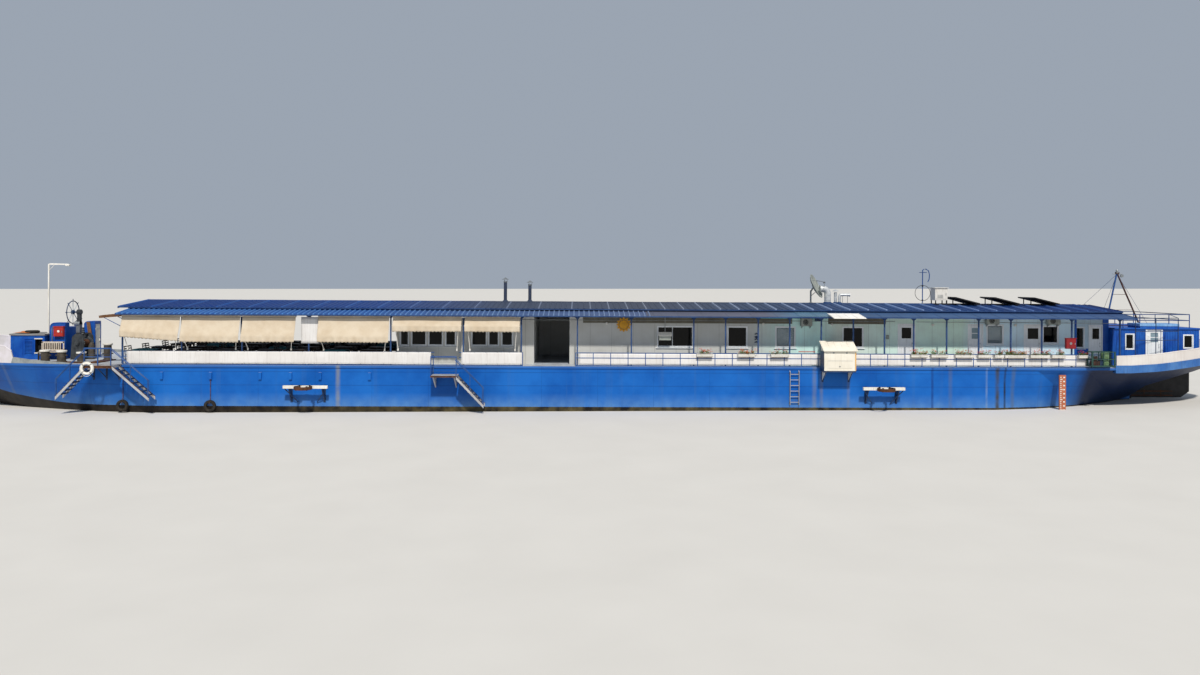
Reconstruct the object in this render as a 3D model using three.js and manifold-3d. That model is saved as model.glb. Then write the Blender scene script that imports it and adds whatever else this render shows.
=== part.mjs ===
// River barge fitted out as a floating restaurant, as a 1:2 scale model.
// All sizes below are the full-size barge's, in millimetres. The exported group is scaled down at the end.
// +X runs along the hull towards the stern, +Y to the far side, +Z up.
// The origin is on the flat bottom, amidships, on the centreline.
import * as THREE from 'three';
import { mergeVertices } from 'three/addons/utils/BufferGeometryUtils.js';
import Module from 'manifold-3d';

const wasm = await Module();
wasm.setup();

// Driving dimensions
const MODEL_SCALE = 0.5;
const SEAT = 0.3 / MODEL_SCALE;       // gap kept where two pieces touch
const DECK = 3000;                    // deck height over the flat bottom
const BEAM_HALF = 4400;               // half breadth at the deck, rub rail left out
const RUB = 50;                       // rub rail stands this far out
const RUB_HEIGHT = 120;
const EAVE_Y = 4600;                  // lower roof's outer edge
const EAVE_Z = 5670;
const WALL_Y = 3200;                  // deckhouse side walls
const WALL_T = 60;
const WALL_TOP = 5780;
const RIDGE_Z = 6320;
const UPPER_EAVE_Z = 6040;
const SHEET_T = 40;                   // roof sheeting with its purlins
const POST_Y = 4200;
const RAIL_Y = 4320;
const RAIL_TOP = 3730;
const ROOF_X = [-24900, 29600];
const UPPER_ROOF_FORE = -25420;       // the upper sheets overhang the lower ones at the fore end
const HOUSE_X = [-10450, 26970];
const PASSAGE_X = [-3000, -1000];     // entrance lobby behind the boarding gap
const JOIN_X = 12400;                 // where the long walls and roofs are joined

const model = new THREE.Group();
model.scale.setScalar(MODEL_SCALE);

// Paints and stuffs
const paint = (color, roughness = 0.5, metalness = 0) =>
  new THREE.MeshStandardMaterial({ color, roughness, metalness });
const HULL_BLUE = paint(0x1b62b7, 0.45);
const HOUSE_BLUE = paint(0x1e56a0, 0.5);
const RAIL_BLUE = paint(0x22508f, 0.5);
const ROOF_BLUE = paint(0x2a5596, 0.4);
const WHITE = paint(0xe8e4da, 0.5);
const PANEL = paint(0xd9d6cc, 0.6);
const CREAM = paint(0xe4d2ba, 0.85);
const GREY = paint(0x8d9092, 0.5, 0.3);
const DARK = paint(0x26241f, 0.8);
const RUBBER = paint(0x1b1b1b, 0.9);
const RUST = paint(0x5a3426, 0.8);
const TIMBER = paint(0x8a6a4a, 0.8);

function add(name, geometry, material) {
  const mesh = new THREE.Mesh(geometry, material);
  mesh.name = name;
  model.add(mesh);
  return mesh;
}

// Joining and cutting
function solid(geometry) {
  const bare = geometry.clone();
  bare.deleteAttribute('normal');
  bare.deleteAttribute('uv');
  const merged = mergeVertices(bare, 0.01);
  return new wasm.Manifold(new wasm.Mesh({
    numProp: 3,
    vertProperties: new Float32Array(merged.attributes.position.array),
    triVerts: new Uint32Array(merged.index.array),
  }));
}

function geometryOf(manifold) {
  const mesh = manifold.getMesh();
  const geometry = new THREE.BufferGeometry();
  geometry.setAttribute('position', new THREE.BufferAttribute(new Float32Array(mesh.vertProperties), 3));
  geometry.setIndex(new THREE.BufferAttribute(new Uint32Array(mesh.triVerts), 1));
  return geometry;
}

const join = (...parts) => geometryOf(parts.map(solid).reduce((sum, part) => sum.add(part)));
const cut = (body, ...tools) => geometryOf(tools.map(solid).reduce((rest, tool) => rest.subtract(tool), solid(body)));

// Plain forms, each placed by its lowest and highest corner
function box([x0, x1], [y0, y1], [z0, z1]) {
  return new THREE.BoxGeometry(x1 - x0, y1 - y0, z1 - z0)
    .translate((x0 + x1) / 2, (y0 + y1) / 2, (z0 + z1) / 2);
}

const outline = points => new THREE.Shape(points.map(([u, v]) => new THREE.Vector2(u, v)));

// Outline drawn in X and Z, given its thickness along Y
function slabY(points, [y0, y1]) {
  return new THREE.ExtrudeGeometry(outline(points), { depth: y1 - y0, bevelEnabled: false })
    .rotateX(Math.PI / 2)
    .translate(0, y1, 0);
}

// Outline drawn in Y and Z, run along X
function slabX(points, [x0, x1]) {
  const turn = new THREE.Matrix4().set(0, 0, 1, x0, 1, 0, 0, 0, 0, 1, 0, 0, 0, 0, 0, 1);
  return new THREE.ExtrudeGeometry(outline(points), { depth: x1 - x0, bevelEnabled: false }).applyMatrix4(turn);
}

// Straight bar between two points: round with sides given, or else square
function bar(from, to, size, sides = 0) {
  const start = new THREE.Vector3(...from);
  const span = new THREE.Vector3(...to).sub(start);
  const length = span.length();
  const form = sides
    ? new THREE.CylinderGeometry(size / 2, size / 2, length, sides)
    : new THREE.BoxGeometry(size, length, size);
  const turn = new THREE.Quaternion().setFromUnitVectors(new THREE.Vector3(0, 1, 0), span.clone().normalize());
  return form.applyQuaternion(turn).translate(...start.addScaledVector(span, 0.5).toArray());
}

const mirrorY = geometry => {
  const flipped = geometry.clone().applyMatrix4(new THREE.Matrix4().makeScale(1, -1, 1));
  const corners = Array.from(flipped.index.array);
  return flipped.setIndex(corners.reverse());
};

// Skin through sections that all have the same number of points, closed at both ends
function loft(sections) {
  const count = sections[0].length;
  const points = sections.flat().flat();
  const faces = [];
  for (let s = 0; s + 1 < sections.length; s += 1) {
    for (let i = 0; i < count; i += 1) {
      const a = s * count + i;
      const b = s * count + (i + 1) % count;
      faces.push(a, b, b + count, a, b + count, a + count);
    }
  }
  const cap = (section, offset, flip) => {
    const flat = section.map(([, y, z]) => new THREE.Vector2(y, z));
    THREE.ShapeUtils.triangulateShape(flat, []).forEach(([a, b, c]) => {
      faces.push(offset + a, offset + (flip ? c : b), offset + (flip ? b : c));
    });
  };
  cap(sections[0], 0, true);
  cap(sections.at(-1), (sections.length - 1) * count, false);
  const geometry = new THREE.BufferGeometry();
  geometry.setAttribute('position', new THREE.BufferAttribute(new Float32Array(points), 3));
  geometry.setIndex(faces);
  return geometry;
}

// Hull lines. Each row: station x, keel z, floor half breadth, turn half breadth and z,
// bilge half breadth and z, deck half breadth, deck z
const BOW_LINES = [
  [-37500, 2950, 100, 140, 2985, 200, 3030, 420, 3400],
  [-37200, 2700, 180, 300, 2760, 460, 2860, 950, 3370],
  [-36400, 2080, 280, 600, 2180, 900, 2400, 1620, 3290],
  [-35000, 1200, 340, 900, 1400, 1350, 1850, 2450, 3170],
  [-33100, 180, 320, 980, 560, 1500, 1250, 3120, 3000],
  [-31000, 0, 1100, 1850, 300, 2400, 950, 3650, 3000],
  [-28400, 0, 2150, 2850, 250, 3300, 850, 4090, 3000],
  [-25800, 0, 3150, 3700, 180, 3980, 680, 4320, 3000],
  [-23000, 0, 3950, 4280, 130, 4400, 500, 4400, 3000],
];
const STERN_LINES = [
  [22000, 0, 3950, 4280, 130, 4400, 500, 4400, 3000],
  [24300, 0, 3200, 3720, 200, 3980, 650, 4400, 3000],
  [27000, 0, 2100, 2750, 300, 3160, 900, 4380, 3000],
  [29500, 0, 900, 1350, 500, 2200, 1400, 4250, 3000],
  [31000, 0, 200, 500, 800, 1750, 1650, 4020, 3060],
  [31900, 0, 100, 250, 1000, 1600, 1700, 3820, 3130],
  [31950, 1400, 100, 700, 1480, 1620, 1750, 3800, 3135],
  [33300, 1900, 100, 900, 1980, 1750, 2180, 3400, 3250],
  [34800, 2380, 100, 850, 2440, 1550, 2570, 2780, 3380],
  [36200, 2740, 100, 600, 2790, 1050, 2890, 1880, 3500],
  [37100, 2980, 80, 350, 3020, 560, 3100, 1050, 3580],
  [37500, 3100, 50, 120, 3120, 220, 3170, 450, 3620],
];

function hullSection([x, keel, floor, turnY, turnZ, bilgeY, bilgeZ, side, deck]) {
  const half = [[floor, keel], [turnY, turnZ], [bilgeY, bilgeZ], [side, deck - RUB_HEIGHT],
    [side + RUB, deck - RUB_HEIGHT], [side + RUB, deck]];
  const port = half.map(([y, z]) => [x, -y, z]).reverse();
  return [...half.map(([y, z]) => [x, y, z]), ...port];
}

// Lashing lugs welded to the side plating, by their distance along the hull
const LUG_X = [-22550, -19990, -17390, -15790, -14230, -11620];
const LUG = { width: 150, out: 90, low: 2250, high: 2620 };

function hull() {
  add('hull_bow', loft(BOW_LINES.map(hullSection)), HULL_BLUE);
  add('hull_stern', loft(STERN_LINES.map(hullSection)), HULL_BLUE);
  const middle = [BOW_LINES.at(-1), STERN_LINES[0]].map((row, i) => [row[0] + (i ? -SEAT : SEAT), ...row.slice(1)]);
  const lugs = LUG_X.map(x => box([x - LUG.width / 2, x + LUG.width / 2],
    [-BEAM_HALF - LUG.out, -BEAM_HALF + LUG.out], [LUG.low, LUG.high]));
  const body = loft(middle.map(hullSection));
  add('hull_midbody', join(body, ...lugs, ...lugs.map(mirrorY)), HULL_BLUE);
}

// Height of the deck and half breadth of the hull at any station
function along(lines, column, x) {
  const next = Math.max(1, lines.findIndex(row => row[0] >= x));
  const [a, b] = [lines[next - 1], lines[next]];
  const part = (x - a[0]) / (b[0] - a[0]);
  return a[column] + part * (b[column] - a[column]);
}
const SIDE = 7;
const DECK_Z = 8;
const sternDeck = x => along(STERN_LINES, DECK_Z, x);

// Bulwarks run round the ends of the hull on its rub rail.
// Rows: station x and the height of the top over the deck there
const BOW_BULWARK = [
  [-37400, 900], [-37200, 900], [-36400, 900], [-35000, 900], [-33100, 950], [-32000, 980], [-31200, 860],
  [-30850, 640], [-30740, 320], [-29500, 180], [-28400, 120], [-27400, 60],
];
const STERN_BULWARK = [
  [28660, 620], [29500, 640], [31000, 660], [31900, 670], [33300, 680], [34800, 680], [36200, 680],
  [37100, 680], [37400, 680],
];
const BULWARK_T = 60;

function bulwark(lines, rows, openEnd, name) {
  const inside = lines.map(row => row[0]).filter(x => x > rows[0][0] && x < rows.at(-1)[0]);
  const stations = [...new Set([...rows.map(row => row[0]), ...inside])].sort((a, b) => a - b);
  const strip = stations.map(x => [x, along(rows, 1, x)]).map(([x, height]) => {
    const outer = along(lines, SIDE, x) + RUB - 10;
    const base = along(lines, DECK_Z, x) + SEAT;
    return [[x, outer, base], [x, outer, base + height], [x, outer - BULWARK_T, base + height],
      [x, outer - BULWARK_T, base]];
  });
  const side = loft(strip);
  const tip = openEnd < 0 ? rows[0] : rows.at(-1);
  const [x, height] = tip;
  const halfWidth = along(lines, SIDE, x) + RUB - 10;
  const base = Math.max(along(lines, DECK_Z, x), along(lines, DECK_Z, x - openEnd * BULWARK_T)) + SEAT;
  const span = openEnd < 0 ? [x, x + BULWARK_T] : [x - BULWARK_T, x];
  const breast = box(span, [-halfWidth, halfWidth], [base, base + height]);
  add(name, join(side, mirrorY(side), breast), WHITE);
}

// Openings in the long walls. Rows: x from, x to, sill z, head z
const FORE_WINDOWS = [
  [-10250, -9800, 4010, 5100], [-9640, -8850, 4010, 5100], [-8710, -7950, 4010, 5100],
  [-7790, -7240, 4010, 5100], [-6370, -5560, 4010, 5100], [-5450, -4900, 4010, 5100], [-4740, -4140, 4010, 5100],
];
const MID_WINDOWS = [
  [3800, 5730, 3990, 5090], [7660, 8710, 3990, 5090], [10310, 11360, 3990, 5090],
];
const AFT_WINDOWS = [
  [14020, 15130, 4000, 5100], [22040, 22930, 4200, 5250], [25170, 26010, 4270, 5210],
];
const DOORWAYS = [[17130, 17970], [21030, 21760], [24160, 25060]];
const DOOR_SILL = 3120;
const DOOR_HEAD = 5230;

function longWall(name, [x0, x1], side, windows, doors) {
  const middle = side * WALL_Y;
  const through = [middle - WALL_T, middle + WALL_T];
  const body = box([x0, x1], [middle - WALL_T / 2, middle + WALL_T / 2], [DECK + SEAT, WALL_TOP]);
  const holes = windows.map(([a, b, low, high]) => box([a, b], through, [low, high]));
  holes.push(...doors.map(([a, b]) => box([a, b], through, [DOOR_SILL, DOOR_HEAD])));
  add(name, holes.length ? cut(body, ...holes) : body, PANEL);
}

const CROSS_Y = WALL_Y - WALL_T / 2 - SEAT;   // cross walls fit between the long ones
const LOBBY_Y = 2200;
const LOBBY_DOOR = [28380, 29070];
const CABIN_X = [29460, 34400];

function walls() {
  longWall('wall_near_fore', [HOUSE_X[0], PASSAGE_X[0] + WALL_T / 2], -1, FORE_WINDOWS, []);
  longWall('wall_near_mid', [PASSAGE_X[1] - WALL_T / 2, JOIN_X - SEAT], -1, MID_WINDOWS, []);
  longWall('wall_near_aft', [JOIN_X, HOUSE_X[1]], -1, AFT_WINDOWS, DOORWAYS);
  longWall('wall_far_fore', [HOUSE_X[0], JOIN_X / 2 - SEAT], 1, [...FORE_WINDOWS, MID_WINDOWS[0]], []);
  longWall('wall_far_aft', [JOIN_X / 2, HOUSE_X[1]], 1, [...MID_WINDOWS.slice(1), ...AFT_WINDOWS], []);

  const cross = ([x0, x1]) => box([x0, x1], [-CROSS_Y, CROSS_Y], [DECK + SEAT, WALL_TOP]);
  const doorway = ([x0, x1], y) => box([x0 - 10, x1 + 10], y, [DOOR_SILL, DOOR_HEAD]);
  const foreEnd = [HOUSE_X[0], HOUSE_X[0] + WALL_T];
  add('wall_end_fore', cut(cross(foreEnd), doorway(foreEnd, [-900, 900])), PANEL);
  const back = box(PASSAGE_X, [CROSS_Y - WALL_T - 10, CROSS_Y - 10], [DECK + 20, WALL_TOP - 20]);
  const spans = PASSAGE_X.map(x => [x - WALL_T / 2, x + WALL_T / 2]);
  const passage = join(...spans.map(span => box(span, [-CROSS_Y, CROSS_Y], [DECK + SEAT, WALL_TOP])), back);
  add('wall_passage', cut(passage, ...spans.map(span => doorway(span, [-1700, -800]))), PANEL);

  const endHouse = cross([HOUSE_X[1] - WALL_T, HOUSE_X[1] - SEAT]);
  const lobbyY = [-LOBBY_Y, -LOBBY_Y + WALL_T];
  const lobby = box([HOUSE_X[1] - WALL_T / 2, CABIN_X[0] - SEAT], lobbyY, [DECK + SEAT, WALL_TOP - 20]);
  const lobbyCuts = [[...LOBBY_DOOR, DOOR_SILL, DOOR_HEAD - 50], [27350, 28050, 3950, 5100]]
    .map(([a, b, low, high]) => box([a, b], [lobbyY[0] - 10, lobbyY[1] + 10], [low, high]));
  add('wall_lobby', cut(join(endHouse, lobby), ...lobbyCuts), PANEL);
}

// Upper roof: two slopes, with a leg at each side that stands on the wall heads
const LEG_Y = WALL_Y;
const LEG_T = 100;
const UPPER_EAVE = [[LEG_Y + 90, UPPER_EAVE_Z], [LEG_Y + 90, UPPER_EAVE_Z - SHEET_T]];
function gable(eave, span) {
  const half = [[0, RIDGE_Z], ...eave, [0, RIDGE_Z - SHEET_T]];
  const other = half.slice(1, -1).map(([y, z]) => [-y, z]).reverse();
  return slabX([...half, ...other], span);
}

const upperRoof = span => gable([...UPPER_EAVE,
  [LEG_Y + LEG_T / 2, UPPER_EAVE_Z - SHEET_T], [LEG_Y + LEG_T / 2, WALL_TOP + SEAT],
  [LEG_Y - LEG_T / 2, WALL_TOP + SEAT], [LEG_Y - LEG_T / 2, UPPER_EAVE_Z - SHEET_T]], span);

// Lower roof: a flat lean-to from the leg of the upper roof down to the eave beam
const LEAN_TOP_Z = 5900;
function lowerRoof(span, side) {
  const inner = LEG_Y + LEG_T / 2 + SEAT;
  const points = [[inner, LEAN_TOP_Z], [inner, LEAN_TOP_Z - SHEET_T], [EAVE_Y, EAVE_Z], [EAVE_Y, EAVE_Z + SHEET_T]];
  return slabX(side < 0 ? points.map(([y, z]) => [-y, z]) : points, span);
}

const VENTS = [[-4860, 7530], [-3420, 7360]];
const VENT_Y = 600;
function roofs() {
  const fore = [ROOF_X[0], JOIN_X / 4 - SEAT];
  const aft = [JOIN_X / 4, ROOF_X[1]];
  const vents = VENTS.map(([x, top]) => bar([x, VENT_Y, RIDGE_Z - 85], [x, VENT_Y, top], 200, 10));
  const overhang = gable(UPPER_EAVE, [UPPER_ROOF_FORE, ROOF_X[0] + 20]);
  add('roof_upper_fore', join(upperRoof(fore), overhang, ...vents), ROOF_BLUE);
  add('roof_upper_aft', upperRoof(aft), ROOF_BLUE);
  add('roof_lower_near_fore', lowerRoof(fore, -1), ROOF_BLUE);
  add('roof_lower_near_aft', lowerRoof(aft, -1), ROOF_BLUE);
  add('roof_lower_far', lowerRoof(ROOF_X, 1), ROOF_BLUE);
}

// Posts with the beam under the eaves. The lean-to's underside at the beam sets the beam's top
const POST = 70;
const leanUnder = y => EAVE_Z + (LEAN_TOP_Z - SHEET_T - EAVE_Z) * (EAVE_Y - y) / (EAVE_Y - LEG_Y - LEG_T / 2);
const BEAM_TOP = leanUnder(POST_Y + POST / 2) - SEAT;
const BEAM_DEPTH = 90;
const TERRACE_POSTS = [-24720, -21600, -18420, -14900, -10560];
const NEAR_POSTS = [-6690, -3600, -600, 2300, 5660, 7380, 9140, 10850, 12560, 14300, 16000, 17590, 19390, 21140,
  22900, 24600, 26250, 28900];
const FAR_POSTS = [-6690, -3600, 0, 3600, 7380, 10850, 14300, 17590, 21140, 24600, 28900];

const squarePost = (x, y, top) => box([x - POST / 2, x + POST / 2], [y - POST / 2, y + POST / 2], [DECK + SEAT, top]);
const eaveBeam = (x0, x1, y) => box([x0, x1], [y - POST / 2, y + POST / 2], [BEAM_TOP - BEAM_DEPTH, BEAM_TOP]);

function frames() {
  const parts = [];
  for (const y of [-POST_Y, POST_Y]) {
    parts.push(eaveBeam(ROOF_X[0], TERRACE_POSTS.at(-1) + POST / 2, y));
    TERRACE_POSTS.forEach(x => parts.push(squarePost(x, y, BEAM_TOP - 10)));
  }
  for (const x of TERRACE_POSTS) {
    parts.push(box([x - POST / 2, x + POST / 2], [-POST_Y, POST_Y], [BEAM_TOP - BEAM_DEPTH, BEAM_TOP - 20]));
    for (const y of [-LEG_Y, LEG_Y]) {
      parts.push(box([x - POST / 2, x + POST / 2], [y - POST / 2, y + POST / 2], [BEAM_TOP - 60, WALL_TOP]));
    }
  }
  add('terrace_frame', join(...parts), RAIL_BLUE);
  const start = TERRACE_POSTS.at(-1) + POST / 2 + SEAT;
  const near = NEAR_POSTS.map(x => squarePost(x, -POST_Y, BEAM_TOP - 10));
  const far = FAR_POSTS.map(x => squarePost(x, POST_Y, BEAM_TOP - 10));
  add('eave_frame_near', join(eaveBeam(start, ROOF_X[1], -POST_Y), ...near), RAIL_BLUE);
  add('eave_frame_far', join(eaveBeam(start, ROOF_X[1], POST_Y), ...far), RAIL_BLUE);
}

// Deck railings: a toe bar, stanchions, middle and top rail, cut as one openwork frame.
// A bay that carries a board is closed between the toe bar and the board's top
const RAIL = { bar: 40, toe: 50, middle: 3420, thick: 40 };
function railing(y, [x0, x1], pitch, gaps = []) {
  const bays = Math.round((x1 - x0) / pitch);
  const step = (x1 - x0 - RAIL.bar) / bays;
  const thick = [y - RAIL.thick / 2, y + RAIL.thick / 2];
  const bars = [[DECK + SEAT, DECK + RAIL.toe], [RAIL.middle, RAIL.middle + RAIL.bar], [RAIL_TOP - RAIL.bar, RAIL_TOP]]
    .map(height => box([x0, x1], thick, height));
  for (let i = 0; i <= bays; i += 1) {
    bars.push(box([x0 + i * step, x0 + i * step + RAIL.bar], thick, [DECK + RAIL.toe / 2, RAIL_TOP - RAIL.bar / 2]));
  }
  const clear = gaps.map(([a, b]) => box([a, b], [y - 100, y + 100], [DECK + RAIL.toe, RAIL_TOP + 10]));
  return clear.length ? cut(join(...bars), ...clear) : join(...bars);
}

const BOARD_T = 20;
const BOARDS_FORE = [[-24400, -8400], [-6760, -3560]];
const BOARD_AFT = [-500, 27000];
const FORE_GATE = [-8220, -6900];
const RAIL_FORE = [-24640, -3500];
const RAIL_AFT = [-700, 28300];
const KIOSK_X = [12470, 14120];

function railings() {
  const boards = BOARDS_FORE.map(span => box(span, [-RAIL_Y - RAIL.thick / 2 - BOARD_T, -RAIL_Y], [3090, 3720]));
  add('railing_near_fore', join(railing(-RAIL_Y, RAIL_FORE, 1860, [FORE_GATE]), ...boards), RAIL_BLUE);
  const aftBoard = box(BOARD_AFT, [-RAIL_Y, -RAIL_Y + RAIL.thick / 2 + BOARD_T], [3090, 3690]);
  add('railing_near_aft', join(railing(-RAIL_Y, RAIL_AFT, 930), aftBoard), RAIL_BLUE);
  add('railing_far', railing(RAIL_Y, [RAIL_FORE[0], RAIL_AFT[1]], 1860), RAIL_BLUE);
}

// Awnings roll down from a tube under the eave. Rows: x from, x to, drop below the tube, throw outwards
const AWNING_TUBE = { y: 4300, z: 5590, size: 70 };
const TALL_AWNINGS = [[-24680, -21640], [-21540, -18480], [-18360, -15560], [-14360, -10610]];
const SHORT_AWNINGS = [[-10420, -6770], [-6600, -3670]];
function awnings(name, spans, [drop, reach, valance]) {
  const { y, z, size } = AWNING_TUBE;
  const sheet = [[-y - 10, z], [-y - 10, z - 20], [-y - reach, z - drop], [-y - reach, z - drop - valance],
    [-y - reach - 25, z - drop - valance], [-y - reach - 25, z - drop], [-y - 35, z + 10]];
  const cloths = spans.map(span => slabX(sheet, span));
  const ends = [spans[0][0], spans.at(-1)[1]];
  const tube = bar([ends[0], -y, z], [ends[1], -y, z], size, 8);
  const face = -POST_Y - POST / 2 - SEAT;
  const arm = [[face, z + 50], [-y + 10, z - 10], [-y - 10, z + 20], [face, z + 100]].reverse();
  const between = spans.slice(1).map((span, i) => (span[0] + spans[i][1]) / 2);
  const arms = [ends[0] + 40, ...between, ends[1] - 40].map(x => slabX(arm, [x - 15, x + 15]));
  add(name, join(tube, ...cloths, ...arms), CREAM);
}

// White panel that leans out from the roof over the kiosk, on three battens
const LEAN_TO = { x: [12850, 14560], y: [-4270, -5600], battens: [12950, 13680, 14400] };
function cloths() {
  awnings('awnings_terrace', TALL_AWNINGS, [1050, 300, 330]);
  awnings('awnings_house', SHORT_AWNINGS, [450, 260, 330]);
  const leanTop = y => leanUnder(-y) + SHEET_T + SEAT;
  const [inner, outer] = LEAN_TO.y;
  const sheet = [[inner, 5860], [inner, 5890], [outer, 5690], [outer, 5660]];
  const batten = [[inner, leanTop(inner)], [inner, 5870], [-EAVE_Y, 5825], [-EAVE_Y, leanTop(-EAVE_Y)]];
  const battens = LEAN_TO.battens.map(x => slabX(batten, [x, x + 60]));
  add('awning_white', join(slabX(sheet, LEAN_TO.x), ...battens), WHITE);
}

// Kiosk: a box hung outboard of the rail on two brackets
const KIOSK = { y: [-5220, -4480], floor: 2880, eave: 3960, back: 4400 };
function kiosk() {
  const [x0, x1] = KIOSK_X;
  const [front, rear] = KIOSK.y;
  const cabinet = slabX([[front, KIOSK.floor], [rear, KIOSK.floor], [rear, KIOSK.back - 60], [front, KIOSK.eave]],
    [x0, x1]);
  const roof = slabX([[front - 90, KIOSK.eave - 50], [front - 90, KIOSK.eave], [rear + 20, KIOSK.back],
    [rear + 20, KIOSK.back - 50]], [x0 - 60, x1 + 60]);
  const hullSide = -BEAM_HALF - SEAT;
  const under = KIOSK.floor - SEAT * 2;
  const bracket = [[front + 100, under - 60], [front + 100, KIOSK.floor + 10], [rear + 10, KIOSK.floor + 10],
    [rear + 10, under], [hullSide, under], [hullSide, 2300], [hullSide - 60, 2300]];
  const legs = [x0 + 120, x1 - 120].map(x => slabX(bracket, [x - 30, x + 30]));
  add('kiosk', join(cabinet, roof, ...legs), CREAM);
}

// Boarding platforms outboard of the rail, with stairs along the hull
const STAIR = { inner: -4620, outer: -5360, stringer: 40, depth: 180, tread: 220 };
function stair([topX, topZ], [footX, footZ], rail) {
  const { inner, outer, stringer, depth, tread } = STAIR;
  const side = [[topX, topZ - depth], [footX, footZ - depth], [footX, footZ], [topX, topZ]];
  const ordered = topX < footX ? side : [...side].reverse();
  const parts = [[outer, outer + stringer], [inner - stringer, inner]].map(y => slabY(ordered, y));
  const count = 7;
  for (let i = 1; i <= count; i += 1) {
    const x = topX + (footX - topX) * (i / (count + 1));
    const z = topZ + (footZ - topZ) * (i / (count + 1)) - depth / 2;
    parts.push(box([x - tread / 2, x + tread / 2], [outer + 10, inner - 10], [z - 15, z + 15]));
  }
  const post = (x, z) => box([x - 20, x + 20], [outer, outer + 40], [z - depth / 2, z + rail]);
  const lean = Math.sign(footX - topX) * 60;
  parts.push(post(footX - lean, footZ + 60), post((topX + footX) / 2, (topZ + footZ) / 2));
  parts.push(bar([topX - lean, outer + 20, topZ + rail], [footX - lean, outer + 20, footZ + rail + 60], 36));
  return parts;
}

const FORE_PLATFORM = { x: [-26100, -24660], y: [-5450, -4460], floor: 3040, landing: -4250 };
const MID_PLATFORM = { x: [-8260, -6900], y: [-5350, -4400 - SEAT], floor: 2560 };
function platforms() {
  const { x, y, floor, landing } = FORE_PLATFORM;
  const top = floor + 900;
  const foreParts = [
    box(x, y, [floor - 140, floor]),
    box(x, [y[0], landing], [DECK + SEAT, floor]),
    box([x[0] + 20, x[1] - 20], [y[0] + 10, y[0] + 50], [top - 40, top]),
    box([x[0] + 20, x[1] - 20], [y[0] + 10, y[0] + 50], [floor + 430, floor + 470]),
  ];
  for (const post of [x[0] + 20, (x[0] + x[1]) / 2, x[1] - 60]) {
    foreParts.push(box([post, post + 40], [y[0] + 10, y[0] + 50], [floor - 20, top - 10]));
  }
  foreParts.push(...stair([x[0] + 20, floor - 20], [-27580, 1430], 850));
  foreParts.push(...stair([x[1] - 20, floor - 20], [-22780, 1370], 850));
  add('platform_fore', join(...foreParts), GREY);

  const mid = MID_PLATFORM;
  const head = mid.floor + 1000;
  const midParts = [box(mid.x, mid.y, [mid.floor - 90, mid.floor])];
  for (const z of [mid.floor + 480, head - 40]) {
    midParts.push(box([mid.x[0], mid.x[1]], [mid.y[0], mid.y[0] + 40], [z, z + 40]));
    midParts.push(box([mid.x[0], mid.x[0] + 40], [mid.y[0], -4500], [z, z + 40]));
  }
  for (const [px, py] of [[mid.x[0], mid.y[0]], [mid.x[1] - 40, mid.y[0]], [mid.x[0], -4540]]) {
    midParts.push(box([px, px + 40], [py, py + 40], [mid.floor - 20, head - 20]));
  }
  for (const gx of [mid.x[0] + 100, mid.x[1] - 160]) {
    midParts.push(slabX([[mid.y[0] + 60, mid.floor - 80], [mid.y[1], mid.floor - 80], [mid.y[1], 1850]], [gx, gx + 60]));
  }
  midParts.push(...stair([mid.x[1] - 20, mid.floor - 10], [-5480, 1050], 850));
  add('platform_mid', join(...midParts), GREY);
}

// Fixed ladder on the hull side
function ladder() {
  const x = [10820, 11300];
  const z = [970, 2740];
  const face = -BEAM_HALF - SEAT;
  const parts = x.map(at => box([at - 20, at + 20], [face - 110, face - 70], z));
  for (let i = 0; i < 6; i += 1) {
    const rung = z[0] + 150 + i * 300;
    parts.push(box(x, [face - 105, face - 75], [rung - 15, rung + 15]));
  }
  for (const at of x) {
    for (const height of [z[0] + 60, z[1] - 100]) {
      parts.push(box([at - 15, at + 15], [face - 80, face], [height, height + 40]));
    }
  }
  add('ladder', join(...parts), RAIL_BLUE);
}

// Brackets that hold the hull to its mooring piles and slide up and down them
const GUIDE = { beamY: [-4990, -4860], z: [1850, 1960], ringY: -5300, inner: 365, outer: 450, armFoot: 1100 };
function pileGuide(name, [x0, x1], ringX) {
  const { beamY, z, ringY, inner, outer, armFoot } = GUIDE;
  const face = -BEAM_HALF - SEAT;
  const ringBody = new THREE.CylinderGeometry(outer, outer, z[1] - z[0], 20);
  const bore = new THREE.CylinderGeometry(inner, inner, 400, 20);
  const ring = [ringBody, bore].map(form => form.rotateX(Math.PI / 2).translate(ringX, ringY, (z[0] + z[1]) / 2));
  const arms = [x0 + 280, x1 - 280].map(x => slabX([[beamY[0] + 20, z[1] - 20], [beamY[0] + 20, z[0] + 10],
    [face - 60, armFoot], [face, armFoot], [face, z[1] - 20]].reverse(), [x - 25, x + 25]));
  const beam = box([x0, x1], beamY, z);
  add(name, cut(join(ring[0], beam, ...arms), ring[1]), WHITE);
}

// Wire-sided stores basket hung on the end of the near railing
function basket() {
  const [x, y, z] = [[26990, 28290], [-4860, -RAIL_Y - RAIL.thick / 2 - SEAT], [3100, 3920]];
  const t = 40;
  const shell = box(x, y, z);
  const inside = box([x[0] + t, x[1] - t], [y[0] + t, y[1] - t], [z[0] + t, z[1] + 10]);
  const middle = (z[0] + z[1]) / 2;
  const panes = [[z[0] + 2 * t, middle - t / 2], [middle + t / 2, z[1] - t]];
  const half = (x[0] + x[1]) / 2;
  const cuts = panes.flatMap(pane => [
    box([x[0] + 2 * t, half - t / 2], [y[0] - 10, y[1] + 10], pane),
    box([half + t / 2, x[1] - 2 * t], [y[0] - 10, y[1] + 10], pane),
    box([x[0] - 10, x[1] + 10], [y[0] + 2 * t, y[1] - 2 * t], pane),
  ]);
  add('basket', cut(shell, inside, ...cuts), GREY);
}

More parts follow.
